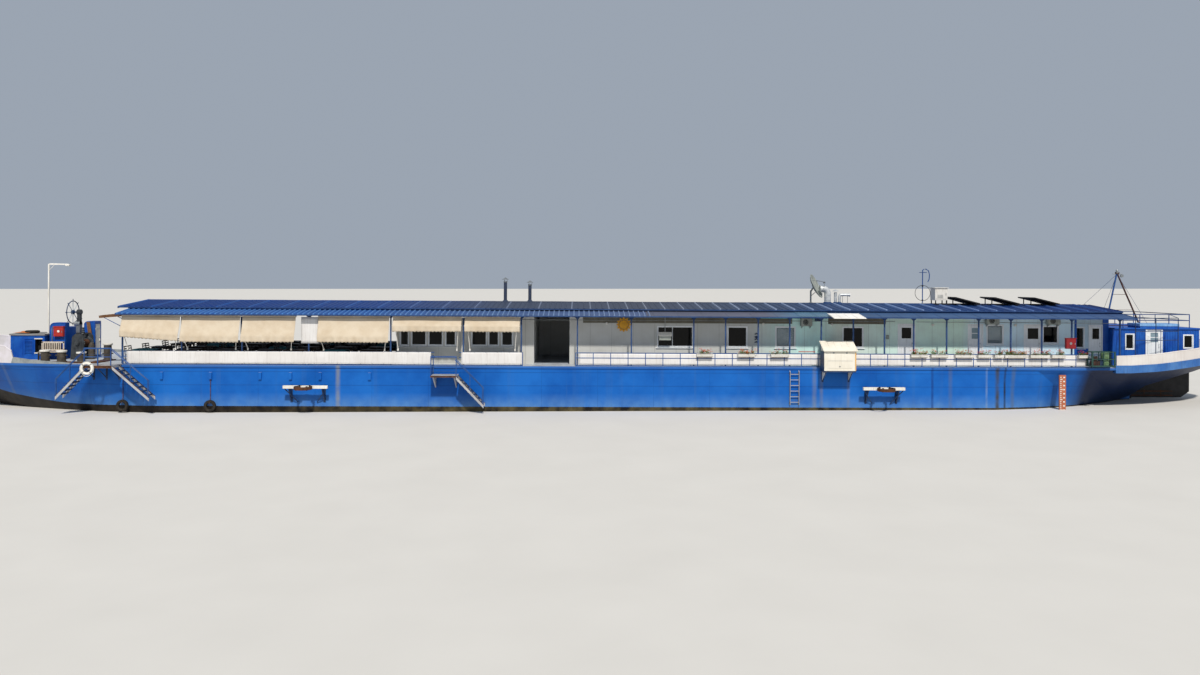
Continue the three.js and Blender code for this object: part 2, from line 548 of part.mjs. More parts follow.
const ringAcross = (x, y, z, ringRadius, thickness, sides, around) =>
  new THREE.TorusGeometry(ringRadius, thickness, sides, around).rotateX(Math.PI / 2).translate(x, y, z);

// Tyres hung as fenders: the fore one on a strap from the rub rail, the aft one from a lashing lug.
// Rows: name, x, y of the tyre, y of the strap's inner face, top of the strap
const TYRE = { z: 840, ring: 220, radius: 90 };
function fenders() {
  const rub = -along(BOW_LINES, SIDE, -24600) - RUB - SEAT;
  const rows = [
    ['tyre_fore', -24600, rub - 15, rub, DECK - 40],
    ['tyre_aft', LUG_X[1], -BEAM_HALF - SEAT - TYRE.radius, -BEAM_HALF - 30, LUG.low - SEAT],
  ];
  for (const [name, x, y, face, top] of rows) {
    const strap = box([x - 20, x + 20], [face - 30, face], [TYRE.z + 180, top]);
    add(name, join(ringAcross(x, y, TYRE.z, TYRE.ring, TYRE.radius, 8, 18), strap), RUBBER);
  }
  const { x, y } = FORE_PLATFORM;
  add('lifebuoy', ringAcross(x[0] + 230, y[0] - 65 - SEAT, 2890, 260, 65, 8, 20), WHITE);
}

// Bow deck gear. Bollards: x, y, radius and height over the deck
const BOLLARDS = [[-29200, -3450, 210, 680], [-28300, -3500, 210, 660], [-27220, -3560, 190, 590],
  [-26600, -2050, 190, 950]];
function bollards() {
  const plate = DECK + SEAT;
  const parts = [box([-29620, -26900], [-3800, -3150], [plate, plate + 50]),
    box([-26900, -26300], [-3800, -1750], [plate, plate + 50])];
  for (const [x, y, r, height] of BOLLARDS) {
    parts.push(bar([x, y, plate + 20], [x, y, plate + height - 60], 2 * r, 14));
    parts.push(bar([x, y, plate + height - 80], [x, y, plate + height], 2 * (r + 50), 14));
  }
  add('bollards', join(...parts), DARK);
}

// Round-cornered box seen from the side: its fore upper corner is an arc
function hooded([x0, x1], y, [z0, z1], radius) {
  const points = [[x0, z0], [x1, z0], [x1, z1]];
  const steps = 5;
  for (let i = 0; i <= steps; i += 1) {
    const angle = Math.PI / 2 * (1 + i / steps);
    points.push([x0 + radius + radius * Math.cos(angle), z1 - radius + radius * Math.sin(angle)]);
  }
  return slabY(points, y);
}

const COMPANION = { x: [-29020, -28400], y: [0, 660], z: [DECK + SEAT, 5080], t: 40, door: [60, 600] };
const COMPANION_SILL = 3120;
const COMPANION_HEAD = 4920;
const BOW_HOUSE = { x: [-30270, -29400], y: [-1200, -800], z: [DECK + SEAT, 5050], t: 50, back: [200, 4780] };
const HATCH = { x: [-32250, -30380], y: [-1500, 300], z: [DECK + SEAT, 4410] };
function bowHouses() {
  const c = COMPANION;
  const room = hooded([c.x[0] + c.t, c.x[1] - c.t], [c.y[0] + c.t, c.y[1] - c.t], [c.z[0] - 100, c.z[1] - c.t], 160);
  const doorway = box([c.x[1] - 2 * c.t, c.x[1] + 10], c.door, [COMPANION_SILL, COMPANION_HEAD]);
  add('companion', cut(hooded(c.x, c.y, c.z, 200), room, doorway), HOUSE_BLUE);
  const h = BOW_HOUSE;
  const [backY, backTop] = h.back;
  const house = join(hooded(h.x, h.y, h.z, 260), box(h.x, [h.y[1] - 10, backY], [h.z[0], backTop]));
  const closet = box([h.x[0] + h.t, h.x[1] - h.t], [h.y[0] + h.t, backY + 10], [h.z[0] - 100, backTop - h.t]);
  const head = box([h.x[0] + 260, h.x[1] - h.t], [h.y[0] + h.t, h.y[1] - h.t], [backTop - 2 * h.t, h.z[1] - h.t]);
  add('bow_house', cut(house, closet, head), HOUSE_BLUE);
  const { x, y, z } = HATCH;
  const recess = box([x[1] - 520, x[1] - 120], [y[0] - 10, y[0] + 300], [3380, 4150]);
  const lid = box([x[0] - 40, x[1] + 20], [y[0] - 40, y[1] + 40], [z[1] - 60, z[1]]);
  add('bow_hatch', cut(join(box(x, y, z), lid), recess), HOUSE_BLUE);
}

// Hand wheel on its column, and the windlass that shares its bedplate
const WHEEL = { x: -29650, z: 5600, rim: 640, knob: 760, axle: 40, bore: 41.6 };
const WINDLASS = { x: -28550, z: 3900, y: [-1500, -440], cheek: 60, shaft: 50, bore: 52 };
function bowGear() {
  const bed = [DECK + SEAT, DECK + 60];
  const { x, z, y, cheek, shaft, bore } = WINDLASS;
  const cheekShape = [[x - 400, bed[0]], [x + 400, bed[0]], [x + 300, 4300], [x + 120, 4450], [x - 120, 4450],
    [x - 300, 4300]];
  const cheeks = [[y[0], y[0] + cheek], [y[1] - cheek, y[1]]].map(span => slabY(cheekShape, span));
  const column = box([WHEEL.x + 290, WHEEL.x + 450], [-110, 110], [bed[0], WHEEL.z + 120]);
  const beds = [box([WHEEL.x + 270, WHEEL.x + 470], [-430, 150], bed), box([-29250, x + 400], [-430, -60], bed),
    box([x - 400, x + 400], [y[0], -60], bed)];
  const stub = bar([WHEEL.x - 90, 0, WHEEL.z], [WHEEL.x + 300, 0, WHEEL.z], 2 * WHEEL.axle, 16);
  const through = bar([x, y[0] - 50, z], [x, y[1] + 50, z], 2 * bore, 16);
  const tie = box([x - 60, x + 60], y, [4350, 4410]);
  add('windlass_frame', cut(join(...cheeks, column, ...beds, stub, tie), through), GREY);

  const lathe = [[0, y[0] + 10], [shaft, y[0] + 10], [shaft, y[0] + cheek + 30], [330, y[0] + cheek + 30],
    [330, y[0] + cheek + 70], [190, y[0] + cheek + 70], [190, y[1] - cheek - 70], [330, y[1] - cheek - 70],
    [330, y[1] - cheek - 30], [shaft, y[1] - cheek - 30], [shaft, y[1] - 10], [0, y[1] - 10]];
  const drum = new THREE.LatheGeometry(lathe.map(([r, along]) => new THREE.Vector2(r, along)), 16);
  add('windlass_drum', drum.translate(x, 0, z), GREY);

  const rim = new THREE.TorusGeometry(WHEEL.rim, 34, 6, 28).rotateY(Math.PI / 2);
  const hub = new THREE.CylinderGeometry(110, 110, 150, 14).rotateZ(Math.PI / 2);
  const parts = [rim, hub];
  for (let i = 0; i < 8; i += 1) {
    const [c, s] = [Math.cos(i * Math.PI / 4), Math.sin(i * Math.PI / 4)];
    parts.push(bar([0, 60 * c, 60 * s], [0, WHEEL.knob * c, WHEEL.knob * s], 40, 6));
  }
  const axle = bar([-200, 0, 0], [200, 0, 0], 2 * WHEEL.bore, 16);
  add('hand_wheel', cut(join(...parts), axle), RAIL_BLUE).position.set(WHEEL.x, 0, WHEEL.z);
}

function bowFurniture() {
  const x = [-30500, -29260];
  const y = [-1920, -1540];
  const seat = [3400, 3430];
  const parts = [box(x, y, seat), box(x, [y[1] - 30, y[1]], [3500, 3560]), box(x, [y[1] - 30, y[1]], [3930, 4000])];
  for (const at of [x[0], x[1] - 60]) {
    parts.push(box([at, at + 60], [y[0], y[0] + 60], [DECK + SEAT, seat[1] - 10]));
    parts.push(box([at, at + 60], [y[1] - 30, y[1]], [DECK + SEAT, 3990]));
  }
  for (let i = 1; i < 11; i += 1) {
    const at = x[0] + 60 + i * (x[1] - x[0] - 120) / 11;
    parts.push(box([at - 25, at + 25], [y[1] - 25, y[1] - 5], [3530, 3970]));
  }
  add('bench', join(...parts), TIMBER);
  const post = [-30450, -1000];
  const top = 8350;
  add('lamp_post', join(
    box([post[0] - 120, post[0] + 60], [post[1] - 90, post[1] + 90], [HATCH.z[1] + SEAT, HATCH.z[1] + 30]),
    box([post[0] - 35, post[0] + 35], [post[1] - 35, post[1] + 35], [HATCH.z[1] + 20, top]),
    box([post[0], post[0] + 1100], [post[1] - 25, post[1] + 25], [top - 50, top]),
    box([post[0] + 950, post[0] + 1150], [post[1] - 60, post[1] + 60], [top - 110, top - 40]),
  ), WHITE);
  const endPost = TERRACE_POSTS[0] - POST / 2 - SEAT;
  const slope = [[endPost - 1250, 5500], [endPost, 5636], [endPost, 5690], [endPost - 1250, 5550]];
  add('entry_canopy', slabY(slope, [-POST_Y + POST, -2600]), TIMBER);
}

// Gear on the ridge of the roof
const onRoof = y => RIDGE_Z - (RIDGE_Z - UPPER_EAVE_Z) * Math.abs(y) / (LEG_Y + 90) + SEAT;
const PANELS = [[21230, 22640], [23530, 24970], [25840, 27310]];
const DISH = { aim: [0.816, -0.4, 0.42], back: [13240, 70, 7270], mastX: 13060 };
function roofGear() {
  const skidY = 450;
  const skidZ = [onRoof(skidY - 30), 6344];
  const parts = [-skidY, skidY].map(y => box([20250, 27350], [y - 30, y + 30], skidZ));
  parts.push(...[20300, 20960, 27300].map(x => box([x, x + 50], [-skidY, skidY], [6325, 6365])));
  parts.push(box([20290, 21000], [-350, 350], [6560, 7270]));
  for (const x of [20300, 20940]) {
    for (const y of [-340, 290]) parts.push(box([x, x + 50], [y, y + 50], [6340, 6570]));
  }
  for (const [x0, x1] of PANELS) {
    parts.push(slabY([[x0, 6700], [x1, 6350], [x1, 6400], [x0, 6750]], [-1000, 1000]));
    for (const y of [-skidY, skidY - 30]) parts.push(box([x0 + 40, x0 + 90], [y, y + 30], [6340, 6700]));
    for (const y of [-skidY, skidY - 30]) parts.push(box([x1 - 90, x1 - 40], [y, y + 30], [6328, 6380]));
  }
  add('roof_equipment', join(...parts), DARK);

  const profile = [[0, 0], [290, 20], [580, 90], [740, 170], [740, 200], [580, 120], [290, 50], [0, 30]];
  const aim = new THREE.Vector3(...DISH.aim).normalize();
  const bowl = new THREE.LatheGeometry(profile.map(([r, z]) => new THREE.Vector2(r, z)), 20)
    .applyQuaternion(new THREE.Quaternion().setFromUnitVectors(new THREE.Vector3(0, 1, 0), aim))
    .translate(...DISH.back);
  const foot = RIDGE_Z + SEAT;
  add('dish', join(bowl, box([DISH.mastX - 40, DISH.mastX + 40], [-40, 40], [foot, 7060]),
    bar([DISH.mastX, 0, 7030], DISH.back, 70),
    box([DISH.mastX - 200, DISH.mastX + 200], [-30, 30], [foot, foot + 40])), GREY);
  add('antenna', join(bar([19670, 0, RIDGE_Z + SEAT], [19670, 0, 8320], 60, 8),
    bar([19500, 0, 8180], [19900, 0, 8180], 40, 6)), RAIL_BLUE);
}

// Stern cabin on the sheer of the after deck
const CABIN_Y = 2600;
const CABIN_T = 60;
const CABIN_TOP = 5030;
const CABIN_ROOF = [CABIN_TOP + SEAT, CABIN_TOP + 70];
const CABIN_DOOR = { x: [31460, 32200], sill: 3250, head: 4980 };
const CABIN_WINDOWS = [[30200, 30660, 3910, 4750], [33510, 34030, 3980, 4710]];
const MAST = { top: [31260, 8210], feet: [30600, 32640] };
function cabin() {
  const [x0, x1] = CABIN_X;
  const foot = [x0, ...STERN_LINES.map(row => row[0]).filter(x => x > x0 && x < x1), x1]
    .map(x => [x, sternDeck(x) + SEAT]);
  const shell = slabY([...foot, [x1, CABIN_TOP], [x0, CABIN_TOP]], [-CABIN_Y, CABIN_Y]);
  const room = box([x0 + CABIN_T, x1 - CABIN_T], [-CABIN_Y + CABIN_T, CABIN_Y - CABIN_T], [DECK - 200, CABIN_TOP + 100]);
  const near = [-CABIN_Y - 20, -CABIN_Y + 2 * CABIN_T];
  const across = [-CABIN_Y - 20, CABIN_Y + 20];
  const windows = CABIN_WINDOWS.map(([a, b, low, high]) => box([a, b], across, [low, high]));
  add('cabin_walls', cut(shell, room, ...windows, box(CABIN_DOOR.x, near, [CABIN_DOOR.sill, CABIN_DOOR.head])),
    HOUSE_BLUE);

  const edge = CABIN_Y - 40;
  const railTop = 5880;
  const railX = [30070, 31030, 32690, 33860];
  const parts = [box([x0 + 60, x1 + 60], [-CABIN_Y - 60, CABIN_Y + 60], CABIN_ROOF),
    box([31000, 33200], [-CABIN_Y - 40, -1500], [CABIN_ROOF[0], 5330])];
  for (const y of [-edge, edge]) {
    railX.forEach(x => parts.push(box([x - 18, x + 18], [y - 18, y + 18], [CABIN_ROOF[0] + 20, railTop])));
    for (const z of [railTop - 40, 5520]) parts.push(box([railX[0], railX.at(-1)], [y - 15, y + 15], [z, z + 30]));
  }
  parts.push(box([railX.at(-1) - 15, railX.at(-1) + 15], [-edge, edge], [railTop - 40, railTop - 10]));
  add('cabin_roof', join(...parts), HOUSE_BLUE);

  const footZ = CABIN_ROOF[1] + SEAT;
  const head = [MAST.top[0], 0, MAST.top[1]];
  const legs = MAST.feet.map(x => bar([x, 0, footZ + 40], head, 80, 8));
  const feet = MAST.feet.map(x => box([x - 120, x + 120], [-120, 120], [footZ, footZ + 60]));
  const cross = box([MAST.feet[0], MAST.feet[1]], [-30, 30], [footZ, footZ + 40]);
  add('mast', join(...legs, ...feet, cross, box([head[0] - 90, head[0] + 110], [-60, 60], [head[2] - 60, head[2] + 60])),
    RUST);
}

// Rudder hung behind the stern post, under the counter
const RUDDER = { x: 32070, end: 35600, low: 880, clear: 150, stock: 70, blade: 70 };
function rudder() {
  const under = x => along(STERN_LINES, 1, x) - RUDDER.clear;
  const tip = RUDDER.end;
  const points = [[RUDDER.x, RUDDER.low], [tip - 500, RUDDER.low], [tip, RUDDER.low + 350], [tip, under(tip)],
    [34800, under(34800)], [33300, under(33300)], [RUDDER.x + 60, under(RUDDER.x + 60)],
    [RUDDER.x, under(RUDDER.x + 60)]];
  const blade = slabY(points, [-RUDDER.blade / 2, RUDDER.blade / 2]);
  const stockTop = along(STERN_LINES, 1, RUDDER.x - RUDDER.stock) - SEAT;
  const stock = bar([RUDDER.x, 0, RUDDER.low - 60], [RUDDER.x, 0, stockTop], 2 * RUDDER.stock, 14);
  add('rudder', join(blade, stock), DARK);
}

// Hinged doors. Each leaf is drawn about its hinge line: it runs along +X and opens towards -Y
const HINGE = { radius: 15, off: 15 + SEAT, jamb: 2, gap: 12, leaf: 45 };
function doorLeaf(width, height, pane) {
  const start = HINGE.jamb + HINGE.gap;
  const end = HINGE.jamb + width - HINGE.gap;
  const z = [HINGE.gap, height - HINGE.gap];
  const parts = [box([start, end], [HINGE.off, HINGE.off + HINGE.leaf], z)];
  for (const low of [220, height - 360]) {
    parts.push(new THREE.CylinderGeometry(HINGE.radius, HINGE.radius, 120, 10).rotateX(Math.PI / 2)
      .translate(0, 0, low + 60));
    parts.push(box([0, 110], [0, HINGE.radius], [low, low + 120]));
    parts.push(box([start + 6, 110], [10, HINGE.off + 20], [low, low + 120]));
  }
  parts.push(box([end - 110, end - 80], [HINGE.off - 50, HINGE.off + 10], [height * 0.45, height * 0.45 + 130]));
  const leaf = join(...parts);
  if (!pane) return leaf;
  return cut(leaf, box([start + 130, end - 130], [-10, 100], [height - 130 - pane, height - 130]));
}

function door(name, jamb, face, sill, width, height, turn, pane, material) {
  const mesh = add(name, doorLeaf(width, height, pane), material);
  const offset = new THREE.Vector2(-HINGE.jamb, -HINGE.off).rotateAround(new THREE.Vector2(), turn);
  mesh.position.set(jamb + offset.x, face + offset.y, sill);
  mesh.rotation.z = turn;
}

function doors() {
  const outer = -WALL_Y - WALL_T / 2;
  DOORWAYS.forEach(([a, b], i) => {
    door(`house_door_${i + 1}`, a, outer, DOOR_SILL, b - a, DOOR_HEAD - DOOR_SILL, 0, 620, WHITE);
  });
  door('lobby_door', LOBBY_DOOR[0], -LOBBY_Y, DOOR_SILL, LOBBY_DOOR[1] - LOBBY_DOOR[0],
    DOOR_HEAD - 50 - DOOR_SILL, 0, 620, WHITE);
  door('cabin_door', CABIN_DOOR.x[0], -CABIN_Y, CABIN_DOOR.sill, CABIN_DOOR.x[1] - CABIN_DOOR.x[0],
    CABIN_DOOR.head - CABIN_DOOR.sill, 0, 560, WHITE);
  const c = COMPANION;
  door('companion_door', c.x[1], c.door[0], COMPANION_SILL, c.door[1] - c.door[0],
    COMPANION_HEAD - COMPANION_SILL, Math.PI / 2, 0, WHITE);
}

hull();
bulwark(BOW_LINES, BOW_BULWARK, -1, 'bulwark_bow');
bulwark(STERN_LINES, STERN_BULWARK, 1, 'bulwark_stern');
walls();
roofs();
frames();
railings();
cloths();
kiosk();
platforms();
ladder();
pileGuide('pile_guide_fore', [-16010, -13710], -14870);
pileGuide('pile_guide_aft', [14640, 16850], 15740);
basket();
fenders();
bollards();
bowHouses();
bowGear();
bowFurniture();
roofGear();
cabin();
rudder();
doors();

export default model;
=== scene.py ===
# %% [markdown]
# # Floating restaurant barge, a 1:2 scale model
# The object is a long blue river lighter that was fitted out as a restaurant: a steel hull, a ribbed blue
# roof over a terrace and a panelled deckhouse, cream awnings, white boards on the railing, boarding
# platforms, deck gear at the bow and a blue cabin at the stern.
# The construction comes packed from CAD as a fixed frame. This file dresses it: it gives each CAD node a
# finish, lays finer pieces over or in place of the plain ones, and sets camera, floor and light.

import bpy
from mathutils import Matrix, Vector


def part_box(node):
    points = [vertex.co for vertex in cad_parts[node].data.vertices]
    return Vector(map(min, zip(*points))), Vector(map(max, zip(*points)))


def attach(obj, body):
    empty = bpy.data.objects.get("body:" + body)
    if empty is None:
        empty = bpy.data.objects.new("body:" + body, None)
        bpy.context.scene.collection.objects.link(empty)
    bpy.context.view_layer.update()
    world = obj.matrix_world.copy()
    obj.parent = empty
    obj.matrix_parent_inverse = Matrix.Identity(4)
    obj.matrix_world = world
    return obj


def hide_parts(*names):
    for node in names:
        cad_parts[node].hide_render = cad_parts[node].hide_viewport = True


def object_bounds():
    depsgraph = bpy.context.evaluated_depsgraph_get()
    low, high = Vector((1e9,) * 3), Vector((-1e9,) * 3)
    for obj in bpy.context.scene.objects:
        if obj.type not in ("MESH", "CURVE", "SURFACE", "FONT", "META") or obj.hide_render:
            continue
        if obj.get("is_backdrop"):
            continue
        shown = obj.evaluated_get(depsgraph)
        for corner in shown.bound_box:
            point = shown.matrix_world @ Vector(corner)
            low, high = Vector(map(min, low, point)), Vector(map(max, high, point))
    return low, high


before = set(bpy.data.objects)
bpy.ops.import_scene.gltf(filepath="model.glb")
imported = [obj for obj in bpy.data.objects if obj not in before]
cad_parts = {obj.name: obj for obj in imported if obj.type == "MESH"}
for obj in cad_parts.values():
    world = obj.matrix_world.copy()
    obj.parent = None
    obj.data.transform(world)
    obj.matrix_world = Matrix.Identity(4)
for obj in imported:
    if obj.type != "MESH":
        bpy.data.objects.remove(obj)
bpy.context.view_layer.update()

# %% Modules and driving sizes
import math
import random

import bmesh
import bpy
from mathutils import Matrix, Vector

SCALE = 0.5            # the model is half the real size, and every size below is the real one in metres
TRIM = 0.0058          # the bow floats higher: slope of the water against the hull's own level
DRAFT = 0.6            # depth of the hull in the water amidships
HULL = "barge"         # the body that carries all fixed pieces
near = -1              # sign of Y on the side with the platforms
far = 1


def span(name):
    """The extent of a CAD node along X, Y and Z, in real metres."""
    low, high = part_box(name)
    return [(low[i] / SCALE, high[i] / SCALE) for i in range(3)]


DECK = span("hull_midbody")[2][1]
print("deck height", round(DECK, 3), "m")

# %% [markdown]
# ## Camera
# The photograph was taken from the bank, level, with the horizon well above the middle of the picture. A
# level camera with a vertical shift keeps the posts upright, as in the photograph. The barge trims a third
# of a degree, so the camera and the floor tilt by that instead of the fixed frame.

# %% Camera
CAMERA_PLACE = Vector((-0.5, -52.5, 7.53)) * SCALE
CAMERA_YAW = 0.0227
PHOTO_WIDTH = 1200
HORIZON_SHIFT = -56

camera_data = bpy.data.cameras.new("camera")
camera_data.lens = 27
camera_data.sensor_width = 36
camera_data.shift_y = HORIZON_SHIFT / PHOTO_WIDTH
camera_data.clip_end = 1000
camera = bpy.data.objects.new("camera", camera_data)
bpy.context.scene.collection.objects.link(camera)
bpy.context.scene.camera = camera
up = Vector((-TRIM, 0, 1)).normalized()
ahead = Vector((math.sin(CAMERA_YAW), math.cos(CAMERA_YAW), TRIM * math.sin(CAMERA_YAW))).normalized()
right = ahead.cross(up).normalized()
turn = Matrix((right, right.cross(ahead), -ahead)).transposed()
camera.matrix_world = Matrix.Translation(CAMERA_PLACE) @ turn.to_4x4()

# %% [markdown]
# ## Helpers for shapes
# Each piece is gathered in a Form: points and faces in real metres, with a number for the finish of each
# face. Bars, bent tubes, prisms, turned forms and curved sheets cover nearly everything on a boat, and one
# function turns a Form into a Blender object, softens its edges and lets it ride on its body.


# %% Form
def circle(count, radius, start=0.0, u=0.0, v=0.0):
    """Points (u, v) evenly round a circle."""
    angles = [start + 2 * math.pi * k / count for k in range(count)]
    return [(u + radius * math.cos(a), v + radius * math.sin(a)) for a in angles]


class Form:
    """Points and faces of one piece, in real metres. paint is the number of the material."""

    def __init__(self):
        self.points = []
        self.faces = []
        self.paints = []

    def add(self, points, faces, paint=0):
        start = len(self.points)
        self.points.extend(tuple(p) for p in points)
        self.faces.extend(tuple(start + i for i in face) for face in faces)
        self.paints.extend([paint] * len(faces))

    def block(self, x, y, z, paint=0):
        corners = [(a, b, c) for a in sorted(x) for b in sorted(y) for c in sorted(z)]
        faces = [(0, 1, 3, 2), (4, 6, 7, 5), (0, 4, 5, 1), (2, 3, 7, 6), (0, 2, 6, 4), (1, 5, 7, 3)]
        self.add(corners, faces, paint)

    def blocks(self, *rows):
        """Each row holds both X, both Y and both Z of a block, and its paint if that isn't 0."""
        for x0, x1, y0, y1, z0, z1, *paint in rows:
            self.block((x0, x1), (y0, y1), (z0, z1), *paint)

    def loft(self, sections, paint=0, capped=True, closed=False):
        """A skin over closed sections that have the same number of points."""
        sides, count = len(sections[0]), len(sections)
        faces = []
        for i in range(count if closed else count - 1):
            after = ((i + 1) % count) * sides
            for k in range(sides):
                turn = (k + 1) % sides
                faces.append((i * sides + k, i * sides + turn, after + turn, after + k))
        if capped and not closed:
            faces.append(tuple(range(sides))[::-1])
            faces.append(tuple(range((count - 1) * sides, count * sides)))
        self.add([point for section in sections for point in section], faces, paint)

    def tube(self, route, radius, sides=8, paint=0, closed=False):
        points = [Vector(p) for p in route]
        count = len(points)
        whole = points[-1] - points[0]
        lean = Vector((1, 0, 0)) if abs(whole.z) > 0.7 * whole.length else Vector((0, 0, 1))
        sections = []
        for i, point in enumerate(points):
            before = points[i - 1] if i or closed else point
            after = points[(i + 1) % count] if i + 1 < count or closed else point
            along = (after - before).normalized()
            if abs(along.dot(lean)) > 0.98:
                lean = Vector((0, 1, 0))
            side = along.cross(lean).normalized()
            rise = side.cross(along)
            sections.append([point + u * side + v * rise for u, v in circle(sides, radius)])
        self.loft(sections, paint, closed=closed)

    def prism(self, outline, axis, ends, paint=0):
        count = len(outline)
        points = []
        for end in sorted(ends):
            for u, v in outline:
                point = [u, v]
                point.insert(axis, end)
                points.append(point)
        faces = [tuple(range(count)), tuple(range(count, 2 * count))[::-1]]
        faces += [(i, i + count, (i + 1) % count + count, (i + 1) % count) for i in range(count)]
        self.add(points, faces, paint)

    def turned(self, profile, centre, axis, steps=24, paint=0):
        """profile holds (radius, distance along the axis) from one end to the other."""
        points, faces = [], []
        for i in range(steps):
            angle = 2 * math.pi * i / steps
            for radius, along in profile:
                point = [radius * math.cos(angle), radius * math.sin(angle)]
                point.insert(axis, along)
                points.append([p + c for p, c in zip(point, centre)])
        rows = len(profile)
        for i in range(steps):
            for j in range(rows - 1):
                a, b = i * rows + j, ((i + 1) % steps) * rows + j
                faces.append((a, b, b + 1, a + 1))
        self.add(points, faces, paint)

    def disc(self, centre, axis, radius, low, high, steps=16, paint=0):
        self.turned([(0, low), (radius, low), (radius, high), (0, high)], centre, axis, steps, paint)

    def collar(self, centre, axis, inner, outer, low, high, steps=16, paint=0):
        self.turned([(inner, low), (outer, low), (outer, high), (inner, high)], centre, axis, steps, paint)

    def sheet(self, rows, paint=0):
        wide = len(rows[0])
        points = [point for row in rows for point in row]
        faces = []
        for i in range(len(rows) - 1):
            for j in range(wide - 1):
                a = i * wide + j
                faces.append((a, a + 1, a + 1 + wide, a + wide))
        self.add(points, faces, paint)


def piece(name, form, materials, body=HULL, replaces=(), edge=0.0, thick=0.0, smooth=35, outward=True):
    """An object made from a Form. edge is the bevel's width and thick a sheet's thickness, in real metres."""
    mesh = bpy.data.meshes.new(name)
    mesh.from_pydata([tuple(c * SCALE for c in p) for p in form.points], [], form.faces)
    mesh.polygons.foreach_set("material_index", form.paints)
    work = bmesh.new()
    work.from_mesh(mesh)
    bmesh.ops.remove_doubles(work, verts=work.verts, dist=1e-5)
    bmesh.ops.dissolve_degenerate(work, edges=work.edges, dist=1e-6)
    if outward:
        bmesh.ops.recalc_face_normals(work, faces=work.faces)
    work.to_mesh(mesh)
    work.free()
    for material in materials:
        mesh.materials.append(material)
    mesh.polygons.foreach_set("use_smooth", [True] * len(mesh.polygons))
    mesh.set_sharp_from_angle(angle=math.radians(smooth))
    made = bpy.data.objects.new(name, mesh)
    bpy.context.scene.collection.objects.link(made)
    if thick:
        solidify = made.modifiers.new("thickness", "SOLIDIFY")
        solidify.thickness = thick * SCALE
        solidify.offset = 0
    if edge:
        bevel = made.modifiers.new("worn edge", "BEVEL")
        bevel.width = edge * SCALE
        bevel.segments = 1
        bevel.limit_method = "ANGLE"
        bevel.angle_limit = math.radians(50)
    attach(made, body)
    if replaces:
        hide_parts(*replaces)
    return made


def cloth_of(name, rows, material, thick, smooth=60):
    """A thin piece from rows of points."""
    form = Form()
    form.sheet(rows)
    return piece(name, form, [material], thick=thick, smooth=smooth, outward=False)


# %% [markdown]
# ## Helpers for finishes
# Hex colours are sRGB, as read off a photograph, and Blender mixes light in linear values, so one function
# converts them. Patterns are sized from real millimetres: a noise of scale 1 / size has blotches about that
# large. A Finish is a new material. Each of its methods adds a shader node and gives its output, which other
# nodes take in place of a plain value.


# %% Colour and node helpers
def linear(hex_text):
    channels = [int(hex_text[i:i + 2], 16) / 255 for i in (0, 2, 4)]
    return (*[c / 12.92 if c <= 0.04045 else ((c + 0.055) / 1.055) ** 2.4 for c in channels], 1)


class Finish:
    """A material in the making. place is the place on the object in model metres."""

    def __init__(self, name):
        self.material = bpy.data.materials.new(name)
        self.material.use_nodes = True
        self.tree = self.material.node_tree
        self.place = self.node("TexCoord").outputs["Object"]

    def fill(self, target, inputs):
        for name, value in inputs.items():
            if isinstance(value, bpy.types.NodeSocket):
                self.tree.links.new(value, target.inputs[name])
            else:
                target.inputs[name].default_value = value

    def node(self, kind, inputs=None, **settings):
        made = self.tree.nodes.new("ShaderNode" + kind)
        for name, value in settings.items():
            setattr(made, name, value)
        self.fill(made, inputs or {})
        return made

    def shade(self, inputs):
        """Fills the inputs of the surface shader and gives the material."""
        self.fill(self.tree.nodes["Principled BSDF"], inputs)
        return self.material

    def along(self, axis):
        return self.node("SeparateXYZ", {0: self.place}).outputs[axis]

    def drawn_out(self, share):
        """The place with its height squeezed, so that a noise on it runs downwards in streaks."""
        return self.node("Mapping", {"Vector": self.place, "Scale": (1, 1, share)}).outputs[0]

    def noise(self, millimetres, detail, rough=0.5, place=None):
        """Blotches of this real size."""
        inputs = {"Vector": place or self.place, "Scale": per(millimetres), "Detail": detail,
                  "Roughness": rough}
        return self.node("TexNoise", inputs).outputs["Fac"]

    def spread(self, value, low, high, to_low=0.0, to_high=1.0):
        """The value's stretch from low to high laid over to_low to to_high."""
        inputs = {"Value": value, "From Min": low, "From Max": high, "To Min": to_low, "To Max": to_high}
        return self.node("MapRange", inputs).outputs[0]

    def mix(self, share, first, second):
        """The second colour over the first. A colour is a hex text or an output."""
        first, second = (linear(c) if isinstance(c, str) else c for c in (first, second))
        return self.node("Mix", {0: share, 6: first, 7: second}, data_type="RGBA").outputs[2]

    def math(self, operation, *values):
        return self.node("Math", dict(enumerate(values)), operation=operation).outputs[0]

    def bump(self, height, strength, distance, below=None, invert=False):
        inputs = {"Height": height, "Strength": strength, "Distance": distance}
        if below:
            inputs["Normal"] = below
        return self.node("Bump", inputs, invert=invert).outputs[0]


def per(millimetres):
    """Pattern scale for this real size."""
    return 1000 / (millimetres * SCALE)


